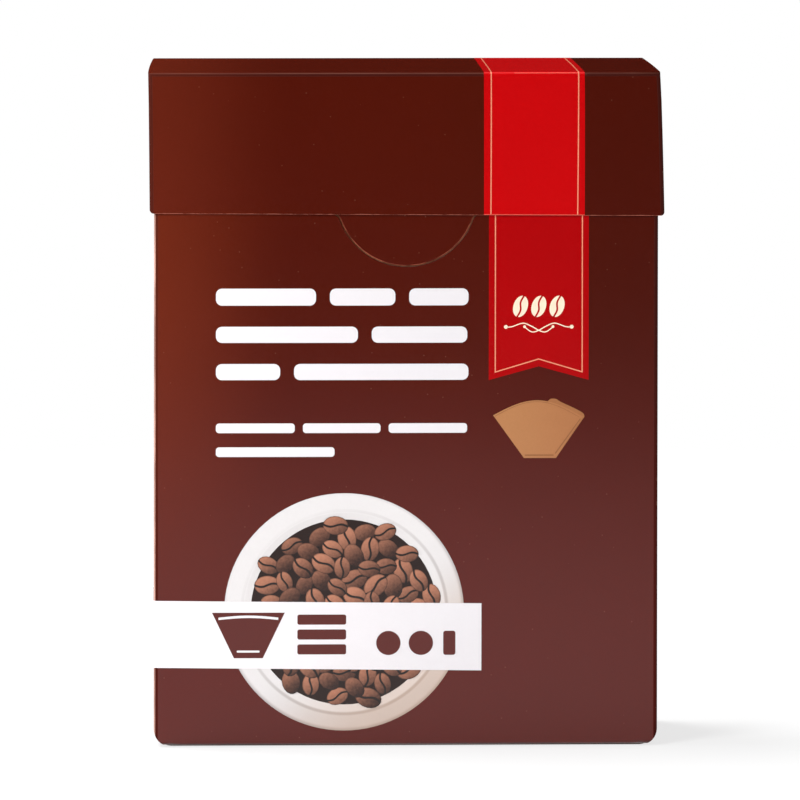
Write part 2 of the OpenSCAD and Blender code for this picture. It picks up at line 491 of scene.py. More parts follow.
class Effects:
    """Shader effects that several finishes share, each built once."""

    def __init__(self) -> None:
        """Build the groups."""
        self.fibre = self._fibre()
        self.mottle = self._mottle()
        self.relief = self._relief()
        self.creases = self._creases()
        self.cut = self._cut()

    @staticmethod
    def _fibre() -> NodeGroup:
        """Build the mottled fibres of paper and board.

        Returns:
            A group with a mask of fibres and one of specks.
        """
        graph = NodeGroup("paper_fibres", "ShaderNodeTree", ("Place", "Fibre Scale"), ("Fibre", "Specks"))
        scaled = graph.put("ShaderNodeVectorMath", 0,
                           {0: graph.given["Place"], "Scale": graph.given["Fibre Scale"]}, operation="SCALE")
        one_way = graph.stretch(scaled, (0.4, 0.7, 1.3), (0.7, 0.5, 0.9))
        other_way = graph.stretch(scaled, (1.3, 0.6, 0.5), (0.3, 1.1, 0.4))
        fibres = graph.noise(one_way, 1.0, 4.0, 0.6, 1.6) + graph.noise(other_way, 0.8, 4.0, 0.6, 2.2)
        return graph.close(Fibre=fibres * 0.5, Specks=graph.ramp(graph.noise(scaled, 0.9, 1.0), 0.72, 0.80))

    @staticmethod
    def _mottle() -> NodeGroup:
        """Build the fine mottle of offset print and the specks of dust that were printed with it.

        Returns:
            A group with the tone to multiply a colour by, the grain of the print and a mask of dust.
        """
        graph = NodeGroup("print_mottle", "ShaderNodeTree", ("Place", "Amount"), ("Tone", "Grain", "Dust"))
        place = graph.given["Place"]
        grain = graph.noise(place, 1500.0, 2.0, 0.6, 0.5)
        clouds = graph.noise(place, 60.0, 3.0)
        tone = (grain * 0.6 + clouds * 0.4 - 0.5) * graph.given["Amount"] + 1.0
        cells = graph.put("ShaderNodeTexVoronoi", "Distance", {"Vector": place, "Scale": 300.0}, feature="F1")
        return graph.close(Tone=graph.put("ShaderNodeCombineColor", 0, {0: tone, 1: tone, 2: tone}),
                           Grain=grain, Dust=graph.ramp(cells, 0.03, 0.065, 1.0, 0.0))

    @staticmethod
    def _relief() -> NodeGroup:
        """Build the relief of varnished board: long waves of the panel and a fine grain.

        Returns:
            A group with a height.
        """
        graph = NodeGroup("varnish_relief", "ShaderNodeTree", ("Place",), ("Height",))
        place = graph.given["Place"]
        waves = graph.noise(place, 22.0, 2.0)
        grain = graph.noise(graph.stretch(place, (1.0, 1.0, 0.6)), 900.0, 2.0)
        return graph.close(Height=waves + grain * 0.01)

    @staticmethod
    def _creases() -> NodeGroup:
        """Build the wear along a carton's creases and corners, from the distances to its faces.

        Returns:
            A group with masks of rubbed print, of the pale front crease and of the bend, where the print gets
            painted shade and rougher varnish, and with the patches that the wear comes in.
        """
        graph = NodeGroup("crease_wear", "ShaderNodeTree",
                          ("Place", "Half Width", "Front", "Back", "Low", "High", "Wear"),
                          ("Rub", "Crack", "Bend", "Patches"))
        place, half_w, front, back, low, high, wear = graph.given.values()
        x, y, z = graph.parts(place)
        to_side = half_w - abs(x)
        to_face = (y - front).least(back - y)
        to_end = (z - low).least(high - z)
        upright = to_side + to_face
        front_level = to_end + to_face
        sharp_side = to_side + 0.0005
        level = to_end + to_face.least(sharp_side)
        nearest = abs(upright).least(abs(level))
        patches = graph.noise(place, 55.0, 2.0)
        reach = graph.noise(place, 420.0, 4.0, 0.7) * patches * wear
        rub = reach - (nearest - 0.00027)
        return graph.close(Rub=graph.span(rub, 0.0, 0.14),
                           Crack=graph.span(front_level, 0.53, 0.555, 1.0, 0.0),
                           Bend=graph.span(nearest, 0.85, 1.10, 1.0, 0.0), Patches=patches)

    @staticmethod
    def _from_circle(right: Value, up: Value, radius: Value) -> Value:
        """Return the distance from a circle's line, from the way to its middle and its radius."""
        return abs(right.graph.math("SQRT", right * right + up * up) - radius)

    @staticmethod
    def _cut() -> NodeGroup:
        """Build the pale line where the board's core shows along a die-cut edge on the front.

        Returns:
            A group with the line's mask for a level edge and a half-moon below it.
        """
        graph = NodeGroup("cut_line", "ShaderNodeTree",
                          ("Place", "Edge", "Moon Height", "Moon Radius", "Corner X", "Corner Height",
                           "Corner Radius", "Joint Height", "Width"), ("Line",))
        place, edge, moon_z, moon_r, corner_x, corner_z, corner_r, joint_z, width = graph.given.values()
        x, _, z = graph.parts(place)
        moon = Effects._from_circle(x, z - moon_z, moon_r)
        corner = Effects._from_circle(abs(x) - corner_x, z - corner_z, corner_r)
        in_corner = graph.math("GREATER_THAN", z, joint_z)
        nearest = (corner * in_corner + moon * (1.0 - in_corner)).least(abs(z - edge))
        reach = width * graph.ramp(graph.noise(place, 260.0, 4.0, 0.7), 0.30, 0.62, 0.35, 1.1)
        return graph.close(Line=graph.span(reach - nearest, 0.0, 0.12))


class Finish(Graph):
    """The nodes of a material that holds one Principled shader."""

    def __init__(self, name: str, effects: Effects | None = None) -> None:
        """Make the material.

        Args:
            name: The material's name.
            effects: The shared shader groups.
        """
        self.material = bpy.data.materials.new(name)
        self.material.use_nodes = True
        super().__init__(self.material.node_tree)
        self.effects = effects
        self.shader = self.tree.nodes["Principled BSDF"]
        self.place = self.put("ShaderNodeTexCoord", "Object")

    def attribute(self, name: str, result: str = "Vector") -> Value:
        """Read an attribute of the mesh."""
        return self.put("ShaderNodeAttribute", result, attribute_name=name)

    def mottle(self, place: Value, amount: float) -> dict[str, Value]:
        """Place the mottle of offset print."""
        return self.effect(self.effects.mottle, place=place, amount=amount)

    def toned(self, base: Value, mottle: dict[str, Value]) -> Value:
        """Multiply a colour by the tone of the mottle."""
        return self.mix(1.0, base, mottle["Tone"], "MULTIPLY")

    def satin(self, mottle: dict[str, Value], low: float, high: float) -> Value:
        """Return the roughness of the varnish, which follows the grain of the print."""
        return self.ramp(mottle["Grain"], 0.3, 0.7, low, high)

    def relief(self, place: Value) -> Value:
        """Return the height of the varnished board."""
        return self.effect(self.effects.relief, place=place)["Height"]

    def done(self, base: Value, roughness: Value, height: Value, depth: float = RELIEF_DEPTH,
             shine: object = None) -> bpy.types.Material:
        """Feed the shader and hand over the material.

        Args:
            base: The base colour.
            roughness: The roughness.
            height: Height for the Bump node.
            depth: Depth of the relief, in metres.
            shine: The specular level, or nothing for the shader's own.

        Returns:
            The finished material.
        """
        bump = self.put("ShaderNodeBump", "Normal", {"Strength": 1.0, "Distance": depth, "Height": height})
        for name, value in (("Base Color", base), ("Roughness", roughness), ("Normal", bump),
                            ("Specular IOR Level", shine)):
            if value is not None:
                self.feed(self.shader.inputs[name], value)
        return self.material


def keep_rest_place(data: bpy.types.Mesh, places: Sequence[Vector]) -> None:
    """Store the place that each vertex had before the bow, in metres.

    Args:
        data: The bowed mesh.
        places: The places before the bow, in millimetres.
    """
    attribute = data.attributes.new(REST_PLACE, "FLOAT_VECTOR", "POINT")
    for item, place in zip(attribute.data, places):
        item.vector = place * MM


@dataclass(frozen=True)
class VarnishedInk:
    """A flat printed colour under the carton's satin varnish, with the fine mottle of offset print."""

    name: str
    colour: Colour
    far_colour: Colour | None = None
    near_x: float = -62.5
    far_x: float = 62.5
    roughness: float = 0.21
    mottle: float = 0.16
    shine: float = 0.42

    def material(self, effects: Effects) -> bpy.types.Material:
        """Build the material.

        Args:
            effects: The shared shader groups.

        Returns:
            The finished material.
        """
        ink = Finish(self.name, effects)
        across = ink.span(ink.parts(ink.place)[0], self.near_x, self.far_x)
        base = ink.mix(across, self.colour, self.far_colour or self.colour)
        mottle = ink.mottle(ink.place, self.mottle)
        roughness = ink.satin(mottle, self.roughness - 0.01, self.roughness + 0.02)
        return ink.done(ink.toned(base, mottle), roughness, ink.relief(ink.place), shine=self.shine)


@dataclass(frozen=True)
class BrownPrint:
    """The carton's dark brown print: its slow change of tone, its worn creases, painted shade in their bends,
    a painted highlight along the left front crease, and its pale cut lines.
    """

    name: str
    frame: CartonFrame
    half_w: float
    front: float
    low: float = -FAR
    high: float = FAR
    edge_z: float = -FAR
    moon: bool = False
    wear: float = 0.0007
    # Strength of the painted highlight along the left front crease, which also stands for some worn print.
    left_highlight_and_wear: float = 0.0
    crease_line: float = 0.15
    line_w: float = 0.18
    seam_x: float = 0.0
    roughness: float = 0.20
    mottle: float = 0.2
    dust: float = 0.15
    left_span: Point = (-66.0, -26.0)
    right_span: Point = (0.0, 60.0)
    foot_span: Point = (15.0, 115.0)
    left: Colour = srgb(107, 35, 14)
    middle: Colour = srgb(77, 15, 2)
    right: Colour = srgb(71, 13, 2)
    foot: Colour = srgb(86, 15, 4)
    # Painted shade laid into the bends of the creases.
    bend_shade: Colour = srgb(30, 6, 3)
    worn: Colour = srgb(176, 128, 106)
    # Colour of the painted highlight along the left front crease, with some worn print.
    left_highlight_and_wear_colour: Colour = srgb(232, 182, 166)
    line: Colour = srgb(160, 92, 76)

    def material(self, effects: Effects) -> bpy.types.Material:
        """Build the material from the board's places before it was bowed.

        Args:
            effects: The shared shader groups.

        Returns:
            The finished material.
        """
        paint = Finish(self.name, effects)
        place = paint.attribute(REST_PLACE)
        x, y, z = paint.parts(place)
        base = paint.mix(paint.span(x, *self.left_span), self.left, self.middle)
        base = paint.mix(paint.span(x, *self.right_span), base, self.right)
        base = paint.mix(paint.span(z, *self.foot_span, 1.0, 0.0), base, self.foot)
        mottle = paint.mottle(place, self.mottle)
        base = paint.mix(mottle["Dust"] * self.dust, paint.toned(base, mottle), self.worn)
        back = self.frame.back_y
        creases = paint.effect(effects.creases, place=place, half_width=self.half_w * MM,
                               front=self.front * MM, back=back * MM, low=self.low * MM,
                               high=self.high * MM, wear=self.wear)
        patchy = paint.ramp(creases["Patches"], 0.35, 0.65, 0.4, 1.0)
        bend, rub = creases["Bend"], creases["Rub"]
        # Painted shade: darken the bends of the creases.
        base = paint.mix(bend * 0.4, base, self.bend_shade)
        base = paint.mix(creases["Crack"] * patchy * self.crease_line, base, self.worn)
        # Painted highlight along the left front crease, partly worn print.
        if self.left_highlight_and_wear:
            at_left = paint.span(x, 0.45 - self.half_w, 0.25 - self.half_w, 0.0, self.left_highlight_and_wear)
            near_front = paint.span(y, self.front + 1.3, self.front + 2.0, 1.0, 0.0)
            base = paint.mix(at_left * near_front * patchy, base, self.left_highlight_and_wear_colour)
        base = paint.mix(rub, base, self.worn)
        on_front = paint.span(y, self.front + 0.3, self.front + 0.9, 1.0, 0.0)
        base = paint.mix(self._cut_line(paint, place) * on_front, base, self.line)
        if self.seam_x:
            near_seam = paint.span(abs(x - self.seam_x * MM), 0.12, 0.24, 1.0, 0.0)
            base = paint.mix(near_seam * paint.span(y, back - 0.12, back - 0.05), base, self.worn)
        rough = paint.satin(mottle, self.roughness - 0.01, self.roughness + 0.02)
        rough += paint.ramp(rub.most(bend), 0.0, 1.0, 0.0, 0.45)
        at_top = paint.span(z, self.high - 0.3, self.high - 0.1, 1.0, 0.15)
        shine = paint.ramp(bend, 0.0, 1.0, 0.42, 0.10) * at_top
        return paint.done(base, rough, paint.relief(place) - rub * 0.2, shine=shine)

    def _cut_line(self, paint: Finish, place: Value) -> Value:
        """Return the mask of the pale line along the die-cut edges on the front.

        Args:
            paint: The material's nodes.
            place: The board's place before it was bowed.

        Returns:
            The mask, with the half-moon only where the board has it.
        """
        tab = TabCut(self.frame.lid_z)
        moon_z, joint_z = (tab.middle_z * MM, tab.joint_z * MM) if self.moon else (10.0, 10.0)
        return paint.effect(paint.effects.cut, place=place, edge=self.edge_z * MM, moon_height=moon_z,
                            moon_radius=tab.radius * MM, corner_x=tab.corner_x * MM,
                            corner_height=tab.corner_z * MM, corner_radius=tab.corner_r * MM,
                            joint_height=joint_z, width=self.line_w * MM)["Line"]


@dataclass(frozen=True)
class RawBoard:
    """The unprinted side of the board: grey-beige recycled fibre with a few specks."""

    name: str = "raw_board_back"
    pale: Colour = (0.50, 0.42, 0.33, 1.0)
    dark: Colour = (0.35, 0.28, 0.21, 1.0)
    speck: Colour = (0.12, 0.09, 0.07, 1.0)
    fibre_scale: float = 1100.0

    def material(self, effects: Effects) -> bpy.types.Material:
        """Build the material.

        Args:
            effects: The shared shader groups.

        Returns:
            The finished material.
        """
        raw = Finish(self.name, effects)
        fibres = raw.effect(effects.fibre, place=raw.place, fibre_scale=self.fibre_scale)
        base = raw.mix(raw.ramp(fibres["Fibre"], 0.32, 0.68), self.dark, self.pale)
        base = raw.mix(fibres["Specks"] * 0.5, base, self.speck)
        return raw.done(base, raw.ramp(fibres["Fibre"], 0.2, 0.8, 0.78, 0.92), fibres["Fibre"], 0.00008)


@dataclass(frozen=True)
class CutEdge:
    """The die-cut edge of the board, where its pale layers show."""

    name: str = "board_cut_edge"
    pale: Colour = srgb(205, 178, 158)
    dark: Colour = srgb(150, 112, 92)
    fibre_scale: float = 3200.0

    def material(self, effects: Effects) -> bpy.types.Material:
        """Build the material.

        Args:
            effects: The shared shader groups.

        Returns:
            The finished material.
        """
        edge = Finish(self.name, effects)
        fibre = edge.effect(effects.fibre, place=edge.place, fibre_scale=self.fibre_scale)["Fibre"]
        share = edge.ramp(fibre, 0.35, 0.65)
        return edge.done(edge.mix(share, self.dark, self.pale), edge.ramp(share, 0.0, 1.0, 0.8, 0.95),
                         fibre, 0.00005)


@dataclass(frozen=True)
class KraftPaper:
    """Unbleached filter paper: long fibres, small specks and the crimps pressed into its two seams."""

    frame: CartonFrame
    seam_half: float = SEAM_HALF
    side_h: float = FILTER_SIDE_H
    name: str = "kraft_filter_paper"
    fibre_scale: float = 700.0
    crimp_pitch: float = 1.6
    pale: Colour = srgb(214, 164, 116)
    dark: Colour = srgb(186, 132, 86)
    speck: Colour = srgb(120, 78, 48)

    def material(self, effects: Effects) -> bpy.types.Material:
        """Build the material from the place of the seams in the stack.

        Args:
            effects: The shared shader groups.

        Returns:
            The finished material.
        """
        paper = Finish(self.name, effects)
        x, _, z = paper.parts(paper.place)
        fibres = paper.effect(effects.fibre, place=paper.place, fibre_scale=self.fibre_scale)
        base = paper.mix(paper.ramp(fibres["Fibre"], 0.3, 0.7), self.dark, self.pale)
        base = paper.mix(fibres["Specks"] * 0.6, base, self.speck)
        low, high = self.frame.stack_low, self.frame.stack_high
        seam_mid = (low.z + high.z) / 2
        slope = (high.z - seam_mid - self.seam_half) / self.side_h
        edge = (x - (low.x + 0.5) * MM) * slope + (seam_mid + self.seam_half) * MM
        below = (edge - z) * math.cos(math.atan(slope))
        seam = paper.span(below, 4.5, 5.5, 1.0, 0.0).most(paper.span(x, low.x + 4.5, low.x + 5.5, 1.0, 0.0))
        ribs = paper.math("SINE", (x + z) * (2 * math.pi / (self.crimp_pitch * MM)))
        tone = paper.attribute("leaf_tone", "Fac")
        base = paper.mix(paper.ramp(tone, 0.0, 1.0, 0.0, 0.22), base, self.speck)
        return paper.done(base, paper.ramp(fibres["Fibre"], 0.2, 0.8, 0.82, 0.95),
                          fibres["Fibre"] + ribs * seam * 1.4, 0.00009)


@dataclass(frozen=True)
class BeanPrint:
    """Printed coffee beans, shaded from the place and the tone that each bean carries."""

    name: str = "printed_beans"
    mottle: float = 0.1
    dark: Colour = srgb(44, 18, 11)
    light: Colour = srgb(188, 124, 96)
    slit: Colour = srgb(24, 9, 5)

    def material(self, effects: Effects) -> bpy.types.Material:
        """Build the material from the beans' attributes.

        Args:
            effects: The shared shader groups.

        Returns:
            The finished material.
        """
        bean = Finish(self.name, effects)
        along, across, _ = bean.parts(bean.attribute("bean_place"))
        tone = bean.attribute("bean_tone", "Fac")
        right, up, _ = bean.parts(bean.attribute("bean_light"))
        grain = (bean.noise(bean.place, 1500.0, 3.0) - 0.5) * 0.5
        share = up * 0.42 + right * -0.26 + tone * 0.62 + grain
        base = bean.mix(bean.ramp(share, -0.30, 1.15), self.dark, self.light)
        wave = bean.math("SINE", along * 3.4) * 0.16
        slit = bean.ramp(abs(across - wave), 0.07, 0.17, 1.0, 0.0) * bean.ramp(tone, 0.30, 0.34)
        base = bean.mix(slit, base, self.slit)
        rim = bean.ramp(along * along + across * across, 0.72, 1.0, 0.0, 0.75)
        mottle = bean.mottle(bean.place, self.mottle)
        return bean.done(bean.mix(rim, base, self.slit), bean.satin(mottle, 0.19, 0.24),
                         bean.relief(bean.place))


@dataclass(frozen=True)
class PlatePrint:
    """A printed china plate seen from above: a raised rim, a sloping well and a thin shaded edge."""

    name: str = "printed_plate"
    rim_r: float = 25.3
    mottle: float = 0.08
    light: Colour = srgb(226, 222, 222)
    shade: Colour = srgb(140, 128, 126)
    warm: Colour = srgb(206, 172, 146)

    def material(self, effects: Effects) -> bpy.types.Material:
        """Build the material from the distance to the plate's middle and the side that the light is on.

        Args:
            effects: The shared shader groups.

        Returns:
            The finished material.
        """
        plate = Finish(self.name, effects)
        x, _, z = plate.parts(plate.place)
        right, up = x - PLATE_MIDDLE[0] * MM, z - PLATE_MIDDLE[1] * MM
        reach = plate.math("SQRT", right * right + up * up) / MM
        lit = (up * 0.8 - right * 0.6) / (PLATE_R * MM)
        slope = plate.ramp(reach, self.rim_r - 0.9, self.rim_r, 1.0, 0.0) * lit
        bead = plate.ramp(abs(reach - self.rim_r), 0.15, 0.65, 1.0, 0.0) * 0.30
        outer = plate.ramp(reach, PLATE_R - 1.1, PLATE_R, 0.0, 0.38)
        away = (0.30 - lit) * 0.34
        base = plate.mix(plate.ramp(slope * 0.5 + bead + outer + away, 0.0, 1.0), self.light, self.shade)
        base = plate.mix(plate.ramp(lit, -0.1, -0.9, 0.0, 0.5), base, self.warm)
        mottle = plate.mottle(plate.place, self.mottle)
        return plate.done(plate.toned(base, mottle), plate.satin(mottle, 0.19, 0.24),
                          plate.relief(plate.place))


@dataclass
class FoldedBoard:
    """One folded board: a copy of its solid, cut into a grid, bowed and dressed side by side."""

    name: str
    node: str
    body: Body
    slot: str
    bow: Bow
    materials: dict[Surface, bpy.types.Material]
    low: Vector
    high: Vector
    cover: bool = False
    grid: float = 7.0
    weld: float = 0.002
    flat_angle: float = 0.4
    sharp_angle: float = 28.0
    cut_near: float = 0.0005
    widest_board: float = 1.7
    probe: float = 0.02
    step_out: float = 2.0
    margin: float = 0.05

    def build(self, nodes: dict[str, bpy.types.Object]) -> bpy.types.Object:
        """Build the board and hand it to the frame.

        Args:
            nodes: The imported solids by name.

        Returns:
            The finished object.
        """
        mesh = self._cut_copy(nodes[self.node].data)
        self._sort_faces(mesh)
        places = [vert.co.copy() for vert in mesh.verts]
        for vert in mesh.verts:
            vert.co = self.bow.moved(vert.co, self.cover) * MM
        for face in mesh.faces:
            face.smooth = True
        board = to_object(self.name, mesh, (self.materials[surface] for surface in Surface))
        keep_rest_place(board.data, places)
        board.data.set_sharp_from_angle(angle=math.radians(self.sharp_angle))
        self._even_normals(board)
        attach(board, self.body.value)
        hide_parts(self.node)
        LOG.info("%s: %d faces", self.name, len(board.data.polygons))
        return board

    @staticmethod
    def _even_normals(board: bpy.types.Object) -> None:
        """Let the large panels set the normals along the creases, and keep the result in the mesh.

        Args:
            board: The board, whose mesh is replaced.
        """
        modifier = board.modifiers.new("even_normals", "WEIGHTED_NORMAL")
        modifier.keep_sharp = True
        result = evaluated_mesh(board)
        board.modifiers.remove(modifier)
        board.data = result

    def _cut_copy(self, data: bpy.types.Mesh) -> bmesh.types.BMesh:
        """Copy the solid in millimetres, clean it and cut it along a grid.

        Args:
            data: The solid's mesh, in metres.

        Returns:
            The copy.
        """
        mesh = bmesh.new()
        mesh.from_mesh(data)
        bmesh.ops.scale(mesh, vec=(1 / MM, 1 / MM, 1 / MM), verts=mesh.verts)
        bmesh.ops.remove_doubles(mesh, verts=mesh.verts, dist=self.weld)
        bmesh.ops.dissolve_limit(mesh, angle_limit=math.radians(self.flat_angle), verts=mesh.verts,
                                 edges=mesh.edges)
        for axis in range(3):
            for place in grid_places(self.low[axis], self.high[axis], self.grid):
                cut_across(mesh, axis, place, self.cut_near)
        bmesh.ops.triangulate(mesh, faces=mesh.faces)
        return mesh

    def _sort_faces(self, mesh: bmesh.types.BMesh) -> None:
        """Give each face its surface: print outside, raw board inside, and the core on cut edges.

        Args:
            mesh: The board, in millimetres.
        """
        mesh.normal_update()
        tree = BVHTree.FromBMesh(mesh)
        for face in mesh.faces:
            centre = face.calc_center_median()
            hit = tree.ray_cast(centre - face.normal * self.probe, -face.normal)
            depth = hit[3] if hit[3] is not None else 0.0
            ahead = centre + face.normal * self.step_out
            outside = any(ahead[axis] < self.low[axis] - self.margin
                          or ahead[axis] > self.high[axis] + self.margin for axis in range(3))
            if depth > self.widest_board:
                surface = Surface.CORE
            elif outside:
                surface = Surface.PRINT
            else:
                surface = Surface.BACK
            face.material_index = surface.value


def grid_places(low: float, high: float, pitch: float) -> list[float]:
    """Return even places between two ends, about a pitch apart."""
    steps = int((high - low) / pitch)
    return [low + (high - low) * step / (steps + 1) for step in range(1, steps + 1)]


def cut_across(mesh: bmesh.types.BMesh, axis: int, place: float, near: float) -> None:
    """Cut a mesh along a plane across one axis.

    Args:
        mesh: The mesh.
        axis: Number of the axis.
        place: Place of the plane along the axis.
        near: How near a vertex has to be to count as on the plane.
    """
    point, normal = Vector(), Vector()
    point[axis], normal[axis] = place, 1.0
    parts = [*mesh.verts, *mesh.edges, *mesh.faces]
    bmesh.ops.bisect_plane(mesh, geom=parts, dist=near, plane_co=point, plane_no=normal)


def evaluated_mesh(piece: bpy.types.Object) -> bpy.types.Mesh:
    """Return the mesh that an object has behind its modifiers.

    Args:
        piece: The object.

    Returns:
        A plain mesh.
    """
    bpy.context.view_layer.update()
    evaluated = piece.evaluated_get(bpy.context.evaluated_depsgraph_get())
    return bpy.data.meshes.new_from_object(evaluated)


@dataclass(frozen=True)
class Wrap:
    """A flat face that a print lies on, with u across it and v along it."""

    frame: CartonFrame
    body: Body = Body.CARTON
    cover: bool = False

    def place(self, u: float, v: float, lift: float) -> Vector:
        """Return the point that lies a lift above the board at u and v."""
        raise NotImplementedError

    def cuts(self) -> tuple[list[float], list[float]]:
        """Return the places across u and v where a sheet has to be cut to bend."""
        return [], []


@dataclass(frozen=True)
class FrontWrap(Wrap):
    """The body's front face and what follows it round the side creases; u runs across and v is the height."""

    def place(self, u: float, v: float, lift: float) -> Vector:
        """Return the point that lies a lift above the board.

        Args:
            u: Way across the front from its middle, and on round the crease.
            v: Height.
            lift: Distance from the board.

        Returns:
            The point, in millimetres.
        """
        flat = self.frame.half_w - CREASE_R
        run = abs(u) - flat
        side = math.copysign(1.0, u)
        if run <= 0:
            return Vector((u, self.frame.front_y - lift, v))
        if run < CREASE_ARC:
            angle, reach = run / CREASE_R, CREASE_R + lift
            back = self.frame.front_y + CREASE_R - reach * math.cos(angle)
            return Vector((side * (flat + reach * math.sin(angle)), back, v))
        back = self.frame.front_y + CREASE_R + run - CREASE_ARC
        return Vector((side * (self.frame.half_w + lift), back, v))

    def cuts(self) -> tuple[list[float], list[float]]:
        """Return the places where a sheet bends round the side creases.

        Returns:
            Places across u, and none along v.
        """
        flat = self.frame.half_w - CREASE_R
        bends = [flat + CREASE_ARC * step / CREASE_CUTS for step in range(CREASE_CUTS + 1)]
        return [-bend for bend in bends] + bends, []


@dataclass(frozen=True)
class LidWrap(Wrap):
    """The lid's front flap and top panel; u runs across and v up the flap and then back over the top."""

    body: Body = Body.LID
    cover: bool = True

    @property
    def flap(self) -> float:
        """Length of the flat part of the front flap."""
        return self.frame.top_z - CREASE_R - self.frame.lid_z

    @property
    def length(self) -> float:
        """Length from the flap's lower edge to the back of the top panel."""
        deep = self.frame.back_y - self.frame.lid_front_y - CREASE_R
        return self.flap + CREASE_ARC + deep

    def place(self, u: float, v: float, lift: float) -> Vector:
        """Return the point that lies a lift above the board.

        Args:
            u: Way across from the middle.
            v: Way up the flap and over the top.
            lift: Distance from the board.

        Returns:
            The point, in millimetres.
        """
        front, top = self.frame.lid_front_y, self.frame.top_z
        run = v - self.flap
        if run <= 0:
            return Vector((u, front - lift, self.frame.lid_z + v))
        if run < CREASE_ARC:
            angle, reach = run / CREASE_R, CREASE_R + lift
            return Vector((u, front + CREASE_R - reach * math.cos(angle),
                           top - CREASE_R + reach * math.sin(angle)))
        return Vector((u, front + CREASE_R + run - CREASE_ARC, top + lift))

    def cuts(self) -> tuple[list[float], list[float]]:
        """Return the places across v where a sheet bends over the front crease."""
        return [], [self.flap + CREASE_ARC * step / CREASE_CUTS for step in range(CREASE_CUTS + 1)]


@dataclass(frozen=True)
class BackWrap(Wrap):
    """The body's back face, seen from behind; u runs to the right from there and v is the height."""

    def place(self, u: float, v: float, lift: float) -> Vector:
        """Return the point that lies a lift above the board at u and v."""
        return Vector((-u, self.frame.back_y + lift, v))


@dataclass(frozen=True)
class InkLayer:
    """One colour of a print: its outlines, its finish and its place in the order of printing."""

    outlines: tuple[Loop, ...]
    finish: str
    order: int = 1


def soft_bar(u0: float, u1: float, v0: float, v1: float, radius: float, steps: int = 6) -> Loop:
    """Return the outline of a bar with round corners.

    Args:
        u0: Left end.
        u1: Right end.
        v0: Lower edge.
        v1: Upper edge.
        radius: Radius of the corners.
        steps: Steps in each corner.

    Returns:
        The outline.
    """
    loop: Loop = []
    corners = ((u1 - radius, v0 + radius, -90), (u1 - radius, v1 - radius, 0),
               (u0 + radius, v1 - radius, 90), (u0 + radius, v0 + radius, 180))
    for mid_u, mid_v, start in corners:
        for step in range(steps + 1):
            angle = math.radians(start + 90 * step / steps)
            loop.append((mid_u + radius * math.cos(angle), mid_v + radius * math.sin(angle)))
    return loop


def ellipse(middle: Point, half_u: float, half_v: float, turn: float = 0.0, count: int = 48) -> Loop:
    """Return the outline of an ellipse.

    Args:
        middle: Its middle.
        half_u: Half its width.
        half_v: Half its height.
        turn: Its turn in degrees.
        count: Number of points.

    Returns:
        The outline.
    """
    cos, sin = math.cos(math.radians(turn)), math.sin(math.radians(turn))
    loop: Loop = []
    for step in range(count):
        angle = 2 * math.pi * step / count
        u, v = half_u * math.cos(angle), half_v * math.sin(angle)
        loop.append((middle[0] + u * cos - v * sin, middle[1] + u * sin + v * cos))
    return loop


def stroke(path: Sequence[Point], width: float) -> Loop:
    """Return the outline of a line of even width with mitred corners.

    Args:
        path: The line's points.
        width: Its width.

    Returns:
        The outline.
    """
    sides: tuple[Loop, Loop] = ([], [])
    for index, point in enumerate(path):
        here = Vector(point)
        into = (here - Vector(path[index - 1])).normalized() if index else None
        out = (Vector(path[index + 1]) - here).normalized() if index < len(path) - 1 else None
        first, last = into or out, out or into
        normal = Vector((-(first.y + last.y), first.x + last.x)).normalized()
        reach = width / 2 / max(0.2, normal.dot(Vector((-first.y, first.x))))
        for side, sign in zip(sides, (1, -1)):
            moved = here + normal * reach * sign
            side.append((moved.x, moved.y))
    return sides[0][::-1] + sides[1]


def smooth_path(points: Sequence[Point], steps: int = 6) -> Loop:
    """Return a smooth path through points, as a Catmull-Rom curve cut into short steps.

    Args:
        points: The points.
        steps: Steps between two points.

    Returns:
        The points of the path.
    """
    ends = [points[0], *points, points[-1]]
    path: Loop = []
    for corners in zip(ends, ends[1:], ends[2:], ends[3:]):
        for step in range(steps):
            t = step / steps
            weights = (-t + 2 * t**2 - t**3, 2 - 5 * t**2 + 3 * t**3, t + 4 * t**2 - 3 * t**3, t**3 - t**2)
            path.append(tuple(sum(weight * point[axis] for weight, point in zip(weights, corners)) / 2
                              for axis in range(2)))
    return [*path, points[-1]]


def arc_through(start: Point, peak_rise: float, end: Point, steps: int = 16) -> Loop:
    """Return the points of a shallow arc.

    Args:
        start: Its first point.
        peak_rise: How far its middle stands above the straight line.
        end: Its last point.
        steps: Steps between the two.

    Returns:
        The points.
    """
    return [(start[0] + (end[0] - start[0]) * step / steps,
             start[1] + (end[1] - start[1]) * step / steps + peak_rise * math.sin(math.pi * step / steps))
            for step in range(steps + 1)]


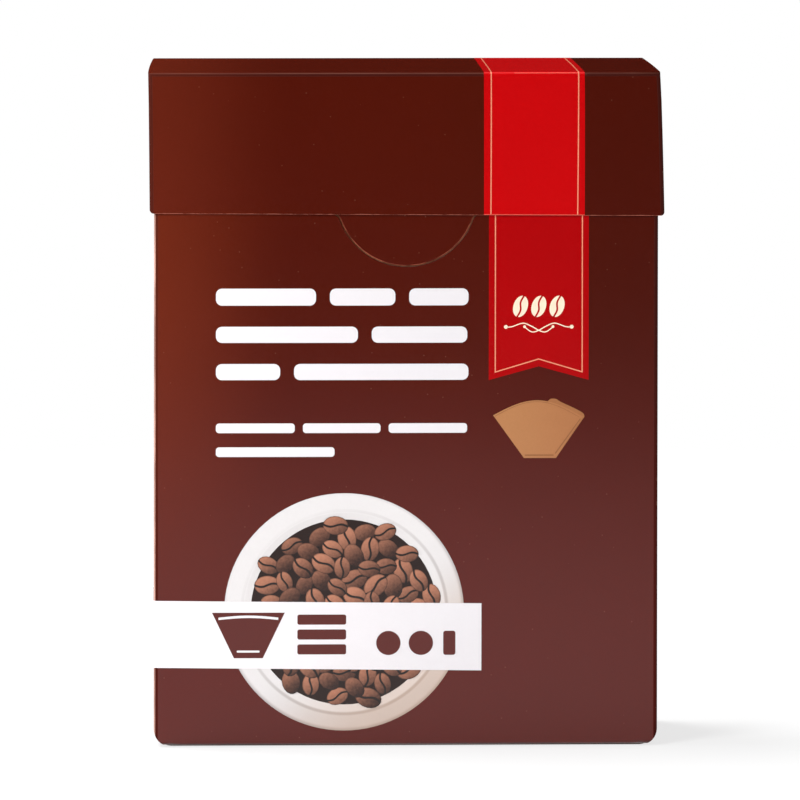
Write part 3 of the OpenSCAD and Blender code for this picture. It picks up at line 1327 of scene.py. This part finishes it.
@dataclass
class PrintedSheet:
    """A print on one face of the carton, laid on as thin closed layers of ink that follow the board's bow."""

    name: str
    wrap: Wrap
    bow: Bow
    layers: list[InkLayer]
    inks: dict[str, bpy.types.Material]
    ink_t: float = 0.025
    depth: float = 0.12
    grid: float = 7.0
    cut_near: float = 0.005

    def build(self) -> bpy.types.Object:
        """Build the print and hand it to the frame.

        Returns:
            The finished object.
        """
        whole = bmesh.new()
        names = sorted({layer.finish for layer in self.layers})
        for layer in self.layers:
            self._lay(whole, layer, names.index(layer.finish))
        bmesh.ops.recalc_face_normals(whole, faces=whole.faces)
        sheet = to_object(self.name, whole, (self.inks[name] for name in names))
        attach(sheet, self.wrap.body.value)
        LOG.info("%s: %d layers, %d faces", self.name, len(self.layers), len(sheet.data.polygons))
        return sheet

    def _flat(self, layer: InkLayer) -> bmesh.types.BMesh:
        """Fill a layer's outlines in the plane of u and v and cut the sheet where it bends.

        Args:
            layer: The layer.

        Returns:
            The flat sheet.
        """
        flat = bmesh.new()
        edges = []
        for loop in layer.outlines:
            verts = [flat.verts.new((u, v, 0.0)) for u, v in loop]
            edges += [flat.edges.new((a, b)) for a, b in zip(verts, verts[1:] + verts[:1])]
        bmesh.ops.triangle_fill(flat, use_beauty=True, edges=edges, normal=(0, 0, 1))
        for axis, bends in enumerate(self.wrap.cuts()):
            values = [vert.co[axis] for vert in flat.verts]
            low, high = min(values), max(values)
            for place in grid_places(low, high, self.grid) + [bend for bend in bends if low < bend < high]:
                cut_across(flat, axis, place, self.cut_near)
        return flat

    def _lay(self, whole: bmesh.types.BMesh, layer: InkLayer, index: int) -> None:
        """Lay one layer on the board as a closed sheet whose underside lies inside the board.

        Args:
            whole: The mesh of the whole print, which the layer joins.
            layer: The layer.
            index: Number of its material.
        """
        flat = self._flat(layer)
        lift = self.ink_t * layer.order
        pairs = {}
        for vert in flat.verts:
            sides = [self.wrap.place(vert.co.x, vert.co.y, height) for height in (lift, -self.depth)]
            pairs[vert] = [whole.verts.new(self.bow.moved(side, self.wrap.cover) * MM) for side in sides]
        for face in flat.faces:
            ring = [loop.vert for loop in face.loops]
            if face.normal.z < 0:
                ring.reverse()
            top = whole.faces.new([pairs[vert][0] for vert in ring])
            under = whole.faces.new([pairs[vert][1] for vert in reversed(ring)])
            top.material_index = under.material_index = index
        for edge in flat.edges:
            if edge.is_boundary:
                a, b = edge.verts
                wall = whole.faces.new([pairs[a][0], pairs[b][0], pairs[b][1], pairs[a][1]])
                wall.material_index = index
        flat.free()


class RepeatTree(NodeGroup):
    """A Geometry Nodes tree that repeats a piece, with a short way to add its nodes."""

    def __init__(self, name: str, inputs: Sequence[str]) -> None:
        """Make the tree with a geometry input, the named inputs and a geometry output."""
        super().__init__(name, "GeometryNodeTree", ("Geometry", *inputs, "Seed", "Material"), ("Geometry",))

    def vector(self, x: object, y: object, z: object) -> Value:
        """Join three values to a vector."""
        return self.put("ShaderNodeCombineXYZ", 0, {0: x, 1: y, 2: z})

    def random(self, low: float, high: float, seed_shift: int) -> Value:
        """Return a random value for each point, from the tree's own seed."""
        feeds = {2: low, 3: high, "Seed": self.given["Seed"] + seed_shift}
        return self.put("FunctionNodeRandomValue", 1, feeds, data_type="FLOAT")

    def keep(self, geometry: Value, name: str, kind: str, domain: str, value: Value) -> Value:
        """Store a named attribute and return the geometry."""
        return self.put("GeometryNodeStoreNamedAttribute", 0,
                        {"Name": name, "Geometry": geometry, "Value": value}, data_type=kind, domain=domain)

    def spread(self, piece: Value, spots: Value, **settings: Value) -> Value:
        """Put a copy of a piece on each spot.

        Args:
            piece: The piece's geometry.
            spots: Where the copies go, from the index of each.
            **settings: Further inputs of Instance on Points, by name.

        Returns:
            The copies, as instances.
        """
        points = self.put("GeometryNodePoints", 0, {"Count": self.given["Count"], "Position": spots})
        return self.put("GeometryNodeInstanceOnPoints", 0, {"Points": points, "Instance": piece, **settings})

    def realize(self, geometry: Value) -> Value:
        """Turn the copies into real geometry."""
        return self.put("GeometryNodeRealizeInstances", 0, {0: geometry})

    def finish(self, geometry: Value) -> RepeatTree:
        """Set the material on the realized geometry and put it out.

        Args:
            geometry: The realized geometry.

        Returns:
            The tree itself.
        """
        feeds = {"Geometry": geometry, "Material": self.given["Material"]}
        self.close(Geometry=self.put("GeometryNodeSetMaterial", 0, feeds))
        return self

    def run(self, name: str, seed_mesh: bpy.types.Mesh, values: dict[str, object]) -> bpy.types.Object:
        """Run the tree on a mesh and return the result as a plain object.

        Args:
            name: Name of the object.
            seed_mesh: The mesh that goes into the tree.
            values: Values of the tree's inputs by name.

        Returns:
            An object with a plain mesh and no modifier.
        """
        piece = bpy.data.objects.new(name, seed_mesh)
        bpy.context.scene.collection.objects.link(piece)
        modifier = piece.modifiers.new(name, "NODES")
        modifier.node_group = self.tree
        for item in self.tree.interface.items_tree:
            if item.item_type == "SOCKET" and item.in_out == "INPUT" and item.name in values:
                modifier[item.identifier] = values[item.name]
        result = evaluated_mesh(piece)
        piece.modifiers.remove(modifier)
        piece.data = result
        return piece


@dataclass
class BeanHeap:
    """A heap of printed beans, laid in the order of a sunflower's seeds by Geometry Nodes."""

    name: str
    wrap: FrontWrap
    bow: Bow
    ink: bpy.types.Material
    count: int = 82
    spacing: float = 2.5
    bean_length: float = 6.2
    bean_width: float = 4.6
    bean_t: float = 0.03
    lift: float = 0.10
    lift_step: float = 0.004
    seed: int = 11

    def build(self) -> bpy.types.Object:
        """Build the beans and hand them to the frame.

        Returns:
            The finished object.
        """
        beans = self._tree().run(self.name, bpy.data.meshes.new(self.name), {
            "Count": self.count,
            "Spacing": self.spacing * MM,
            "Bean Length": self.bean_length * MM,
            "Bean Width": self.bean_width * MM,
            "Lift Step": self.lift_step * MM,
            "Seed": self.seed,
            "Material": self.ink,
        })
        for vert in beans.data.vertices:
            local = vert.co / MM
            place = self.wrap.place(local.x + PLATE_MIDDLE[0], local.z + PLATE_MIDDLE[1], self.lift - local.y)
            vert.co = self.bow.moved(place) * MM
        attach(beans, self.wrap.body.value)
        LOG.info("%s: %d beans, %d faces", self.name, self.count, len(beans.data.polygons))
        return beans

    def _tree(self) -> RepeatTree:
        """Build the tree: one flat bean, a point for each bean, and the attributes that shade it.

        Returns:
            The tree.
        """
        tree = RepeatTree("bean_heap", ("Count", "Spacing", "Bean Length", "Bean Width", "Lift Step"))
        given = tree.given
        index = tree.put("GeometryNodeInputIndex")
        place = tree.put("GeometryNodeInputPosition")
        disc = tree.put("GeometryNodeMeshCylinder", "Mesh", {"Vertices": 18, "Radius": 1.0, "Depth": 1.0},
                        fill_type="NGON")
        half_l, half_w = given["Bean Length"] * 0.5, given["Bean Width"] * 0.5
        bean = tree.put("GeometryNodeTransform", 0, {
            "Geometry": tree.keep(disc, "bean_place", "FLOAT_VECTOR", "POINT", place),
            "Rotation": (math.pi / 2, 0.0, 0.0),
            "Scale": tree.vector(half_l, half_w, self.bean_t * MM),
        })
        turn = index * GOLDEN_ANGLE
        reach = given["Spacing"] * tree.math("SQRT", index + 0.5)
        order = tree.math("MODULO", index * 4.0, 11.0)
        spots = tree.vector(reach * tree.math("COSINE", turn), order * given["Lift Step"] * -1.0,
                            reach * tree.math("SINE", turn))
        around = tree.vector(0.0, tree.random(0.0, 6.28, 1), 0.0)
        size = tree.random(0.86, 1.08, 2)
        beans = tree.spread(bean, spots, Rotation=around, Scale=tree.vector(size, 1.0, size))
        beans = tree.keep(beans, "bean_tone", "FLOAT", "INSTANCE", tree.random(0.0, 1.0, 3))
        beans = tree.realize(tree.keep(beans, "bean_centre", "FLOAT_VECTOR", "INSTANCE", place))
        centre = tree.put("GeometryNodeInputNamedAttribute", 0, {"Name": "bean_centre"},
                          data_type="FLOAT_VECTOR")
        away = tree.put("ShaderNodeVectorMath", 0, {0: place, 1: centre}, operation="SUBTRACT")
        right, _, up = tree.parts(away)
        lit = tree.vector(right / half_l, up / half_l, 0.0)
        return tree.finish(tree.keep(beans, "bean_light", "FLOAT_VECTOR", "POINT", lit))


@dataclass
class PaperFilters:
    """The folded filters that stand in the carton on their sides, repeated by Geometry Nodes."""

    name: str
    frame: CartonFrame
    paper: bpy.types.Material
    count: int = 80
    ply: float = 0.16
    ply_starts: Point = (0.02, 0.26)
    ply_insets: Point = (0.0, 1.1)
    seam_half: float = SEAM_HALF
    side_h: float = FILTER_SIDE_H
    stray: float = 0.45
    row_gap: float = 0.15
    end_gap: float = 0.3
    base_gap: float = 0.1
    arc_gap: float = 0.6
    arc_steps: int = 16
    seed: int = 5

    def build(self) -> bpy.types.Object:
        """Build the filters and hand them to the frame.

        Returns:
            The finished object.
        """
        low, high = self.frame.stack_low, self.frame.stack_high
        filters = self._tree().run(self.name, self._leaf(), {
            "Count": self.count,
            "Pitch": (high.y - low.y - 2 * self.row_gap) / self.count * MM,
            "First": (low.y + self.row_gap) * MM,
            "Stray": self.stray * MM,
            "Seed": self.seed,
            "Material": self.paper,
        })
        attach(filters, Body.CARTON.value)
        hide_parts("filter_stack")
        LOG.info("%s: %d filters, %d faces", self.name, self.count, len(filters.data.polygons))
        return filters

    def _outline(self, arc_inset: float) -> Loop:
        """Return a filter's outline as it stands in the carton.

        Args:
            arc_inset: How much shorter the ply is at the open end.

        Returns:
            The outline, as x and z.
        """
        low, high = self.frame.stack_low, self.frame.stack_high
        mid = (low.z + high.z) / 2
        half = (high.z - low.z) / 2 - self.end_gap
        left, right = low.x + self.base_gap, high.x - self.arc_gap
        rise = right - (left + self.side_h)
        radius = (half * half + rise * rise) / (2 * rise)
        spread = math.asin(half / radius)
        loop = [(left, mid - self.seam_half), (left + self.side_h, mid - half)]
        for step in range(1, self.arc_steps):
            angle = -spread + 2 * spread * step / self.arc_steps
            loop.append((right - radius + (radius - arc_inset) * math.cos(angle),
                         mid + (radius - arc_inset) * math.sin(angle)))
        return loop + [(left + self.side_h, mid + half), (left, mid + self.seam_half)]

    def _leaf(self) -> bpy.types.Mesh:
        """Build one filter: two plies side by side, the second cut a little shorter at the open end.

        Returns:
            The filter's mesh, in metres.
        """
        leaf = bmesh.new()
        for start, inset in zip(self.ply_starts, self.ply_insets):
            rings = []
            for y in (start, start + self.ply):
                rings.append([leaf.verts.new((x * MM, y * MM, z * MM)) for x, z in self._outline(inset)])
            leaf.faces.new(rings[0])
            leaf.faces.new(rings[1][::-1])
            for index in range(len(rings[0])):
                here, there = rings[0][index], rings[0][index - 1]
                leaf.faces.new((here, there, rings[1][index - 1], rings[1][index]))
        bmesh.ops.recalc_face_normals(leaf, faces=leaf.faces)
        data = bpy.data.meshes.new("filter_leaf")
        leaf.to_mesh(data)
        leaf.free()
        return data

    @staticmethod
    def _tree() -> RepeatTree:
        """Build the tree: a row of points from front to back, a leaf on each, and a little stray.

        Returns:
            The tree.
        """
        tree = RepeatTree("filter_row", ("Count", "Pitch", "First", "Stray"))
        given = tree.given
        row = given["First"] + tree.put("GeometryNodeInputIndex") * given["Pitch"]
        across, up = (tree.random(0.0, 1.0, shift) * given["Stray"] for shift in (1, 2))
        leaves = tree.spread(given["Geometry"], tree.vector(across, row, up))
        leaves = tree.keep(leaves, "leaf_tone", "FLOAT", "INSTANCE", tree.random(0.0, 1.0, 3))
        return tree.finish(tree.realize(leaves))


@dataclass
class HingeCrease:
    """A strip round the crease that joins the top panel to the back panel."""

    name: str
    frame: CartonFrame
    bow: Bow
    outer: bpy.types.Material
    inner: bpy.types.Material
    from_x: float
    to_x: float
    lift: float = 0.02
    depth: float = 0.22
    lip: float = 0.35
    bend_steps: int = 10
    grid: float = 6.0
    sharp_angle: float = 40.0
    past_bend: float = 0.2

    def build(self) -> bpy.types.Object:
        """Build the crease.

        Returns:
            The finished object.
        """
        frame = self.frame
        mid_y, mid_z = frame.back_y - CREASE_R, frame.top_z - CREASE_R
        crease, places = self._strip(mid_y, mid_z)
        piece = to_object(self.name, crease, (self.outer, self.inner))
        keep_rest_place(piece.data, places)
        piece.data.set_sharp_from_angle(angle=math.radians(self.sharp_angle))
        centre = Vector((0.0, mid_y, mid_z)) * MM
        for face in piece.data.polygons:
            away = face.center - centre
            away.x = 0.0
            face.material_index = int(away.dot(face.normal) < 0 or abs(face.normal.x) > 0.9)
        start = (0.0, frame.back_y * MM, (mid_z - self.past_bend) * MM)
        end = (0.0, (mid_y - self.past_bend) * MM, frame.top_z * MM)
        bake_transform(piece)
        LOG.info("%s: %d faces", self.name, len(piece.data.polygons))
        return piece

    def _strip(self, mid_y: float, mid_z: float) -> tuple[bmesh.types.BMesh, list[Vector]]:
        """Build the closed strip.

        Args:
            mid_y: Place of the bend's middle towards the back.
            mid_z: Height of the bend's middle.

        Returns:
            The strip, and the place of each vertex before the bow.
        """
        profile = [(self.frame.back_y, mid_z - self.lip, 0.0)]
        profile += [(mid_y, mid_z, math.radians(90 * step / self.bend_steps))
                    for step in range(self.bend_steps + 1)]
        profile += [(mid_y - self.lip, self.frame.top_z, math.pi / 2)]
        crease = bmesh.new()
        columns, places = [], []
        steps = 1 + int((self.to_x - self.from_x) / self.grid)
        for step in range(steps + 1):
            x = self.from_x + (self.to_x - self.from_x) * step / steps
            rows = []
            for reach in (self.lift, -self.depth):
                row = []
                for index, (y, z, angle) in enumerate(profile):
                    spread = CREASE_R + reach if 0 < index < len(profile) - 1 else reach
                    spot = Vector((x, y + spread * math.cos(angle), z + spread * math.sin(angle)))
                    places.append(spot)
                    row.append(crease.verts.new(self.bow.moved(spot) * MM))
                rows.append(row)
            columns.append(rows[0] + rows[1][::-1])
        for before, after in zip(columns, columns[1:]):
            for index in range(len(before)):
                crease.faces.new((before[index], before[index - 1], after[index - 1], after[index]))
        crease.faces.new(columns[0])
        crease.faces.new(columns[-1][::-1])
        bmesh.ops.recalc_face_normals(crease, faces=crease.faces)
        for face in crease.faces:
            face.smooth = True
        return crease, places


@dataclass
class Carton:
    """The whole carton: its boards, its filters and its print."""

    frame: CartonFrame
    effects: Effects
    line_w: float = 0.28
    bow: Bow = field(init=False)
    inks: dict[str, bpy.types.Material] = field(init=False)

    def __post_init__(self) -> None:
        """Prepare the bow and the inks."""
        self.bow = Bow(self.frame)
        self.inks = {ink.name: ink.material(self.effects) for ink in (
            VarnishedInk("ribbon_red", srgb(190, 0, 4), shine=0.25),
            VarnishedInk("ribbon_deep_red", srgb(172, 0, 2), srgb(164, 0, 4), shine=0.2),
            VarnishedInk("ribbon_line", srgb(230, 142, 112)),
            VarnishedInk("ribbon_worn", srgb(222, 78, 62), roughness=0.5),
            VarnishedInk("cream_ink", srgb(246, 226, 200)),
            VarnishedInk("white_ink", srgb(243, 238, 241), srgb(228, 224, 227), far_x=20.0, mottle=0.06),
            VarnishedInk("label_brown", srgb(88, 28, 22)),
            VarnishedInk("filter_tan", srgb(178, 122, 78), srgb(170, 111, 70), near_x=22.0, far_x=45.0),
            VarnishedInk("filter_seam", srgb(143, 93, 57)),
            VarnishedInk("filter_shade", srgb(160, 104, 64)),
            VarnishedInk("heap_shadow", srgb(34, 14, 9)),
            BeanPrint(),
            PlatePrint(),
        )}

    def build(self, nodes: dict[str, bpy.types.Object]) -> None:
        """Build every piece of the carton.

        Args:
            nodes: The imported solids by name.
        """
        self._boards(nodes)
        PaperFilters("paper_filters", self.frame, KraftPaper(self.frame).material(self.effects)).build()
        self._ribbon()
        self._titles()
        self._label()
        self._filter_picture()
        self._plate_picture()

    def _boards(self, nodes: dict[str, bpy.types.Object]) -> None:
        """Build the body, the lid's two boards and the crease between them.

        Args:
            nodes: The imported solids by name.
        """
        frame, effects = self.frame, self.effects
        raw, core = RawBoard().material(effects), CutEdge().material(effects)
        # The body's print gets a painted highlight along its left front crease.
        body = BrownPrint("brown_print_body", frame, frame.half_w, frame.front_y, low=0.0,
                          seam_x=frame.half_w - 1.1, left_highlight_and_wear=0.9).material(effects)
        lid = BrownPrint("brown_print_lid", frame, frame.lid_half_w, frame.lid_front_y, high=frame.top_z,
                         edge_z=frame.lid_z, left=srgb(99, 30, 13)).material(effects)
        tab = BrownPrint("brown_print_tab", frame, frame.half_w + 5, frame.front_y, moon=True, line_w=0.15,
                         line=srgb(196, 104, 78)).material(effects)
        for name, node, owner, slot, ink, low, high in (
            ("printed_carton", "carton_body", Body.CARTON, "printed_board", body,
             (-frame.half_w, frame.front_y, 0.0), (frame.half_w, frame.back_y, FAR)),
            ("flip_lid", "lid_cover", Body.LID, "printed_board", lid,
             (-frame.lid_half_w, frame.lid_front_y, -FAR), (frame.lid_half_w, FAR, frame.top_z)),
            ("inner_strip", "tear_strip", Body.LID, "raw_board", tab,
             (-frame.half_w, frame.front_y, -FAR), (frame.half_w, FAR, frame.strip_top_z)),
        ):
            FoldedBoard(name, node, owner, slot, self.bow, dict(zip(Surface, (ink, core, raw))), Vector(low),
                        Vector(high), cover=node == "lid_cover").build(nodes)
        reach = frame.half_w - 0.12
        HingeCrease("hinge_crease", frame, self.bow, lid, raw, -reach, reach).build()

    def _sheet(self, name: str, wrap: Wrap, layers: list[InkLayer]) -> None:
        """Build one printed sheet."""
        PrintedSheet(name, wrap, self.bow, layers, self.inks).build()

    def _ribbon(self) -> None:
        """Build the ribbon over the lid, down the front to its notched tails, and down the back."""
        lid, line_w = LidWrap(self.frame), self.line_w
        flap, end, bend = lid.flap, lid.length - 1.2, lid.flap + CREASE_R * math.pi / 4
        self._sheet("lid_ribbon", lid, [
            InkLayer(([(19.2, 0.05), (43.9, 0.05), (44.3, flap), (44.3, end), (19.5, end), (19.5, flap)],),
                     "ribbon_red"),
            InkLayer((stroke([(20.9, 0.05), (21.3, flap), (21.3, end)], line_w),
                      stroke([(42.2, 0.05), (42.8, flap), (42.8, end)], line_w)), "ribbon_line", 2),
            InkLayer((stroke([(19.2, 0.14), (43.9, 0.14)], 0.18),
                      stroke([(27.0, bend), (43.0, bend)], 0.14)), "ribbon_worn", 3),
        ])
        top = self.frame.lid_z + 0.45
        self._sheet("front_ribbon", FrontWrap(self.frame), [
            InkLayer(([(20.3, top), (20.3, 90.9), (32.6, 94.3), (44.9, 90.9), (44.9, top)],),
                     "ribbon_deep_red"),
            InkLayer((stroke([(21.9, top), (21.9, 92.9), (32.6, 96.1), (43.3, 92.9), (43.3, top)], line_w),),
                     "ribbon_line", 2),
            *self._ornament((32.6, 103.2)),
        ])
        tails = [(-43.65, 165.2), (-43.65, 139.0), (-31.5, 142.4), (-19.2, 139.0), (-19.2, 165.2)]
        lines = [(-42.1, 165.2), (-42.1, 141.0), (-31.5, 144.2), (-21.0, 141.0), (-21.0, 165.2)]
        self._sheet("back_ribbon", BackWrap(self.frame), [
            InkLayer((tails,), "ribbon_red"), InkLayer((stroke(lines, line_w),), "ribbon_line", 2)])
        for name, ink, low, high, lift in (("hinge_ribbon", "ribbon_red", 19.2, 43.65, 0.04),
                                           ("hinge_line_left", "ribbon_line", 20.86, 21.14, 0.065),
                                           ("hinge_line_right", "ribbon_line", 41.98, 42.26, 0.065)):
            HingeCrease(name, self.frame, self.bow, self.inks[ink], self.inks[ink], low, high,
                        lift=lift, depth=0.05, lip=1.1).build()

    @staticmethod
    def _ornament(knot: Point) -> list[InkLayer]:
        """Return three plain beans in a row over a flourish of two crossing scrolls.

        Args:
            knot: The point where the scrolls cross.

        Returns:
            The layers of ink, in their order.
        """
        beans, slits, scrolls, dots = [], [], [], []
        for column in (-1, 0, 1):
            mid_u, mid_v = knot[0] + 4.5 * column, knot[1] + 5.9
            beans.append(ellipse((mid_u, mid_v), 1.75, 2.7, -18.0))
            slit = [(0.85, 2.6), (0.0, 0.95), (0.0, -0.95), (-0.85, -2.6)]
            slits.append(stroke(smooth_path([(mid_u + u, mid_v + v) for u, v in slit]), 0.42))
        for side in (-1, 1):
            scroll = [(8.0, 0.8), (6.6, 0.9), (3.9, 1.75), (1.8, 1.0), (0.0, 0.0), (-1.7, -0.4), (-3.4, 0.75)]
            scrolls.append(stroke(smooth_path([(knot[0] + side * u, knot[1] + v) for u, v in scroll]), 0.26))
            dots += [ellipse((knot[0] + side * 8.1, knot[1] + 0.85), 0.48, 0.48, count=16),
                     ellipse((knot[0] - side * 3.5, knot[1] + 0.9), 0.34, 0.34, count=16)]
        return [InkLayer(tuple(beans), "cream_ink", 2), InkLayer(tuple(slits), "ribbon_deep_red", 3),
                InkLayer((scrolls[0],), "cream_ink", 2), InkLayer((scrolls[1],), "cream_ink", 3),
                InkLayer(tuple(dots), "cream_ink", 4)]

    def _titles(self) -> None:
        """Build the plain bars that stand where a carton has its lines of print."""
        bars = [soft_bar(start, end, low, high, radius) for low, high, radius, runs in (
            (109.4, 113.6, 1.5, ((-46.8, -22.2), (-18.8, -2.7), (0.7, 15.3))),
            (100.2, 104.2, 1.5, ((-46.8, -11.9), (-8.5, 15.0))),
            (91.0, 95.0, 1.5, ((-46.8, -31.0), (-27.6, 15.3))),
            (77.9, 80.3, 0.8, ((-46.8, -27.4), (-25.4, -6.3), (-4.3, 15.0))),
            (72.0, 74.4, 0.8, ((-46.8, -17.6),)),
        ) for start, end in runs]
        self._sheet("front_bars", FrontWrap(self.frame), [InkLayer(tuple(bars), "white_ink")])

    def _label(self) -> None:
        """Build the white band with its plain marks, wrapped round the left crease."""
        brown = [soft_bar(-26.7, -14.7, low, low + 2.5, 0.5) for low in (30.4, 26.7, 23.0)]
        brown.append([(-47.7, 33.4), (-29.8, 33.4), (-35.2, 22.1), (-42.3, 22.1)])
        brown += [ellipse((mid, 25.8), 3.0, 3.0) for mid in (-4.3, 3.7)]
        brown.append(soft_bar(9.2, 12.2, 22.8, 28.8, 0.6))
        rim = arc_through((-46.1, 31.6), 0.5, (-31.4, 31.6), 8)
        rim += arc_through((-31.4, 32.2), 0.5, (-46.1, 32.2), 8)
        self._sheet("label_band", FrontWrap(self.frame), [
            InkLayer(([(-86.0, 36.6), (-86.0, 20.0), (18.6, 18.9), (18.6, 35.6)],), "white_ink", 8),
            InkLayer(tuple(brown), "label_brown", 9),
            InkLayer((rim, soft_bar(-41.6, -36.0, 23.5, 24.0, 0.2)), "white_ink", 10),
        ])

    def _filter_picture(self) -> None:
        """Build the small picture of a cone filter, with its arc and its two crimped seams."""
        outline = [*arc_through((43.5, 81.8), 3.9, (21.4, 82.2)), (29.0, 71.6), (36.9, 71.6)]
        inner = arc_through((42.6, 81.7), 3.7, (21.9, 82.0))
        rear_edge = [(34.6, 85.3), (35.5, 86.2), (36.9, 86.2), (38.0, 85.5), (41.4, 83.9), (43.5, 82.7),
                     (43.9, 81.8)]
        self._sheet("filter_picture", FrontWrap(self.frame), [
            InkLayer(([*smooth_path(rear_edge), (36.9, 71.6), (33.0, 76.0)],), "filter_shade"),
            InkLayer((outline,), "filter_tan", 2),
            InkLayer((stroke([(36.7, 72.7), (42.9, 81.3)], 0.28), stroke([(29.2, 72.3), (36.3, 72.3)], 0.34),
                      stroke(inner, 0.1)), "filter_seam", 3),
        ])

    def _plate_picture(self) -> None:
        """Build the picture of a round plate with a heap of beans, seen from above."""
        self._sheet("plate_picture", FrontWrap(self.frame), [
            InkLayer((ellipse(PLATE_MIDDLE, PLATE_R, PLATE_R, count=96),), "printed_plate"),
            InkLayer((ellipse(PLATE_MIDDLE, HEAP_R, HEAP_R, count=72),), "heap_shadow", 2),
        ])
        BeanHeap("bean_heap", FrontWrap(self.frame), self.bow, self.inks["printed_beans"]).build()


@dataclass
class Studio:
    """The pale floor, the white surroundings, the dark cards out of view, the lamps and the camera."""

    floor_r: float = 0.62
    floor_glow: float = 1.03
    card_r: float = 3.3
    card_h: float = 7.0
    card_foot: float = -1.6
    dim_world: float = 0.30
    lamp_aim: tuple[float, float, float] = (0.0, 0.0, 0.085)
    camera_aim: tuple[float, float, float] = (-0.00079, 0.0, 0.0955)
    camera_distance: float = 2.6
    camera_turn: float = -1.9
    camera_tilt: float = 6.07
    camera_roll: float = 0.08
    sensor: float = 36.0
    lens_share: float = 13.11
    shift_y: float = -0.06

    def build(self) -> None:
        """Build the whole studio."""
        self._world()
        self._floor()
        self._cards()
        self._lamps()
        self._camera()

    @staticmethod
    def _seen(graph: Graph) -> Value:
        """Return a mask of the rays that see the white surroundings.

        Args:
            graph: The nodes that use the mask.

        Returns:
            The mask.
        """
        path = graph.add("ShaderNodeLightPath").outputs
        camera, glossy, through = (Value(graph, path[f"Is {kind} Ray"])
                                   for kind in ("Camera", "Glossy", "Transmission"))
        return graph.math("ADD", camera + glossy, through, clamp=True)

    def _world(self) -> None:
        """Make a world that looks white and lights the object dimly."""
        world = bpy.data.worlds.new("studio_world")
        bpy.context.scene.world = world
        world.use_nodes = True
        graph = Graph(world.node_tree)
        back = world.node_tree.nodes["Background"].inputs
        graph.feed(back["Color"], (1.0, 1.0, 1.0, 1.0))
        graph.feed(back["Strength"], graph.ramp(self._seen(graph), 0.0, 1.0, self.dim_world, 1.0))

    def _floor(self) -> None:
        """Lay a round pale floor that keeps the object's shadow."""
        disc = bmesh.new()
        bmesh.ops.create_circle(disc, cap_ends=True, segments=96, radius=self.floor_r)
        material = bpy.data.materials.new("pale_floor")
        material.use_nodes = True
        graph = Graph(material.node_tree)
        material.node_tree.nodes.clear()
        matt = graph.put("ShaderNodeBsdfDiffuse", 0, {"Color": (0.84, 0.84, 0.84, 1.0)})
        glow = graph.put("ShaderNodeEmission", 0, {"Strength": self.floor_glow})
        place = graph.put("ShaderNodeTexCoord", "Object")
        away = graph.put("ShaderNodeVectorMath", "Value", {0: place}, operation="LENGTH")
        share = self._seen(graph) * graph.ramp(away, 0.10, self.floor_r * 0.8, 0.70, 1.0)
        mixed = graph.put("ShaderNodeMixShader", 0, {0: share, 1: matt, 2: glow})
        graph.feed(graph.add("ShaderNodeOutputMaterial").inputs["Surface"], mixed)
        to_object("studio_floor", disc, (material,))

    def _cards(self) -> None:
        """Stand dark cards in a ring outside the view, so the satin board doesn't mirror white walls."""
        ring = bmesh.new()
        bmesh.ops.create_cone(ring, cap_ends=False, segments=64, radius1=self.card_r, radius2=self.card_r,
                              depth=self.card_h)
        bmesh.ops.translate(ring, vec=(0, 0, self.card_h / 2 + self.card_foot), verts=ring.verts)
        bmesh.ops.reverse_faces(ring, faces=ring.faces)
        card = Finish("dark_card")
        card.feed(card.shader.inputs["Base Color"], (0.004, 0.002, 0.0015, 1.0))
        card.feed(card.shader.inputs["Roughness"], 1.0)
        cards = to_object("dark_cards", ring, (card.material,))
        cards.visible_camera = False
        cards.visible_diffuse = False
        cards.visible_shadow = False

    def _lamps(self) -> None:
        """Hang three soft lamps: the key at the front left, a weak fill at the right, and one above."""
        for name, place, size, power in (
            ("key_lamp", (-1.25, -1.35, 1.15), 0.9, 29.5),
            ("fill_lamp", (1.5, -1.2, 0.7), 1.0, 9.0),
            ("top_lamp", (-0.6, 0.3, 1.72), 0.9, 34.0),
        ):
            lamp_data = bpy.data.lights.new(name, "AREA")
            lamp_data.shape = "DISK"
            lamp_data.size = size
            lamp_data.energy = power
            lamp = bpy.data.objects.new(name, lamp_data)
            bpy.context.scene.collection.objects.link(lamp)
            lamp.location = place
            aim = Vector(self.lamp_aim) - Vector(place)
            lamp.rotation_euler = aim.to_track_quat("-Z", "Y").to_euler()

    def _camera(self) -> None:
        """Set the camera at the photograph's viewing angle."""
        camera_data = bpy.data.cameras.new("camera")
        camera_data.sensor_width = self.sensor
        camera_data.lens = self.lens_share * self.sensor
        camera_data.shift_x = 0.0
        camera_data.shift_y = self.shift_y
        camera = bpy.data.objects.new("camera", camera_data)
        bpy.context.scene.collection.objects.link(camera)
        turn, tilt = math.radians(self.camera_turn), math.radians(self.camera_tilt)
        back = Vector((math.sin(turn) * math.cos(tilt), -math.cos(turn) * math.cos(tilt), math.sin(tilt)))
        camera.location = Vector(self.camera_aim) + back * self.camera_distance
        roll = Quaternion((0.0, 0.0, 1.0), math.radians(self.camera_roll))
        camera.rotation_euler = ((-back).to_track_quat("-Z", "Y") @ roll).to_euler()
        bpy.context.scene.camera = camera


def main() -> None:
    """Load the frame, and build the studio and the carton."""
    logging.basicConfig(level=logging.INFO, format="%(name)s: %(message)s")
    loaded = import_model()
    bpy.context.scene.view_settings.view_transform = "Standard"
    Studio().build()
    Carton(CartonFrame.read(), Effects()).build(loaded["nodes"])


if __name__ == "__main__":
    main()
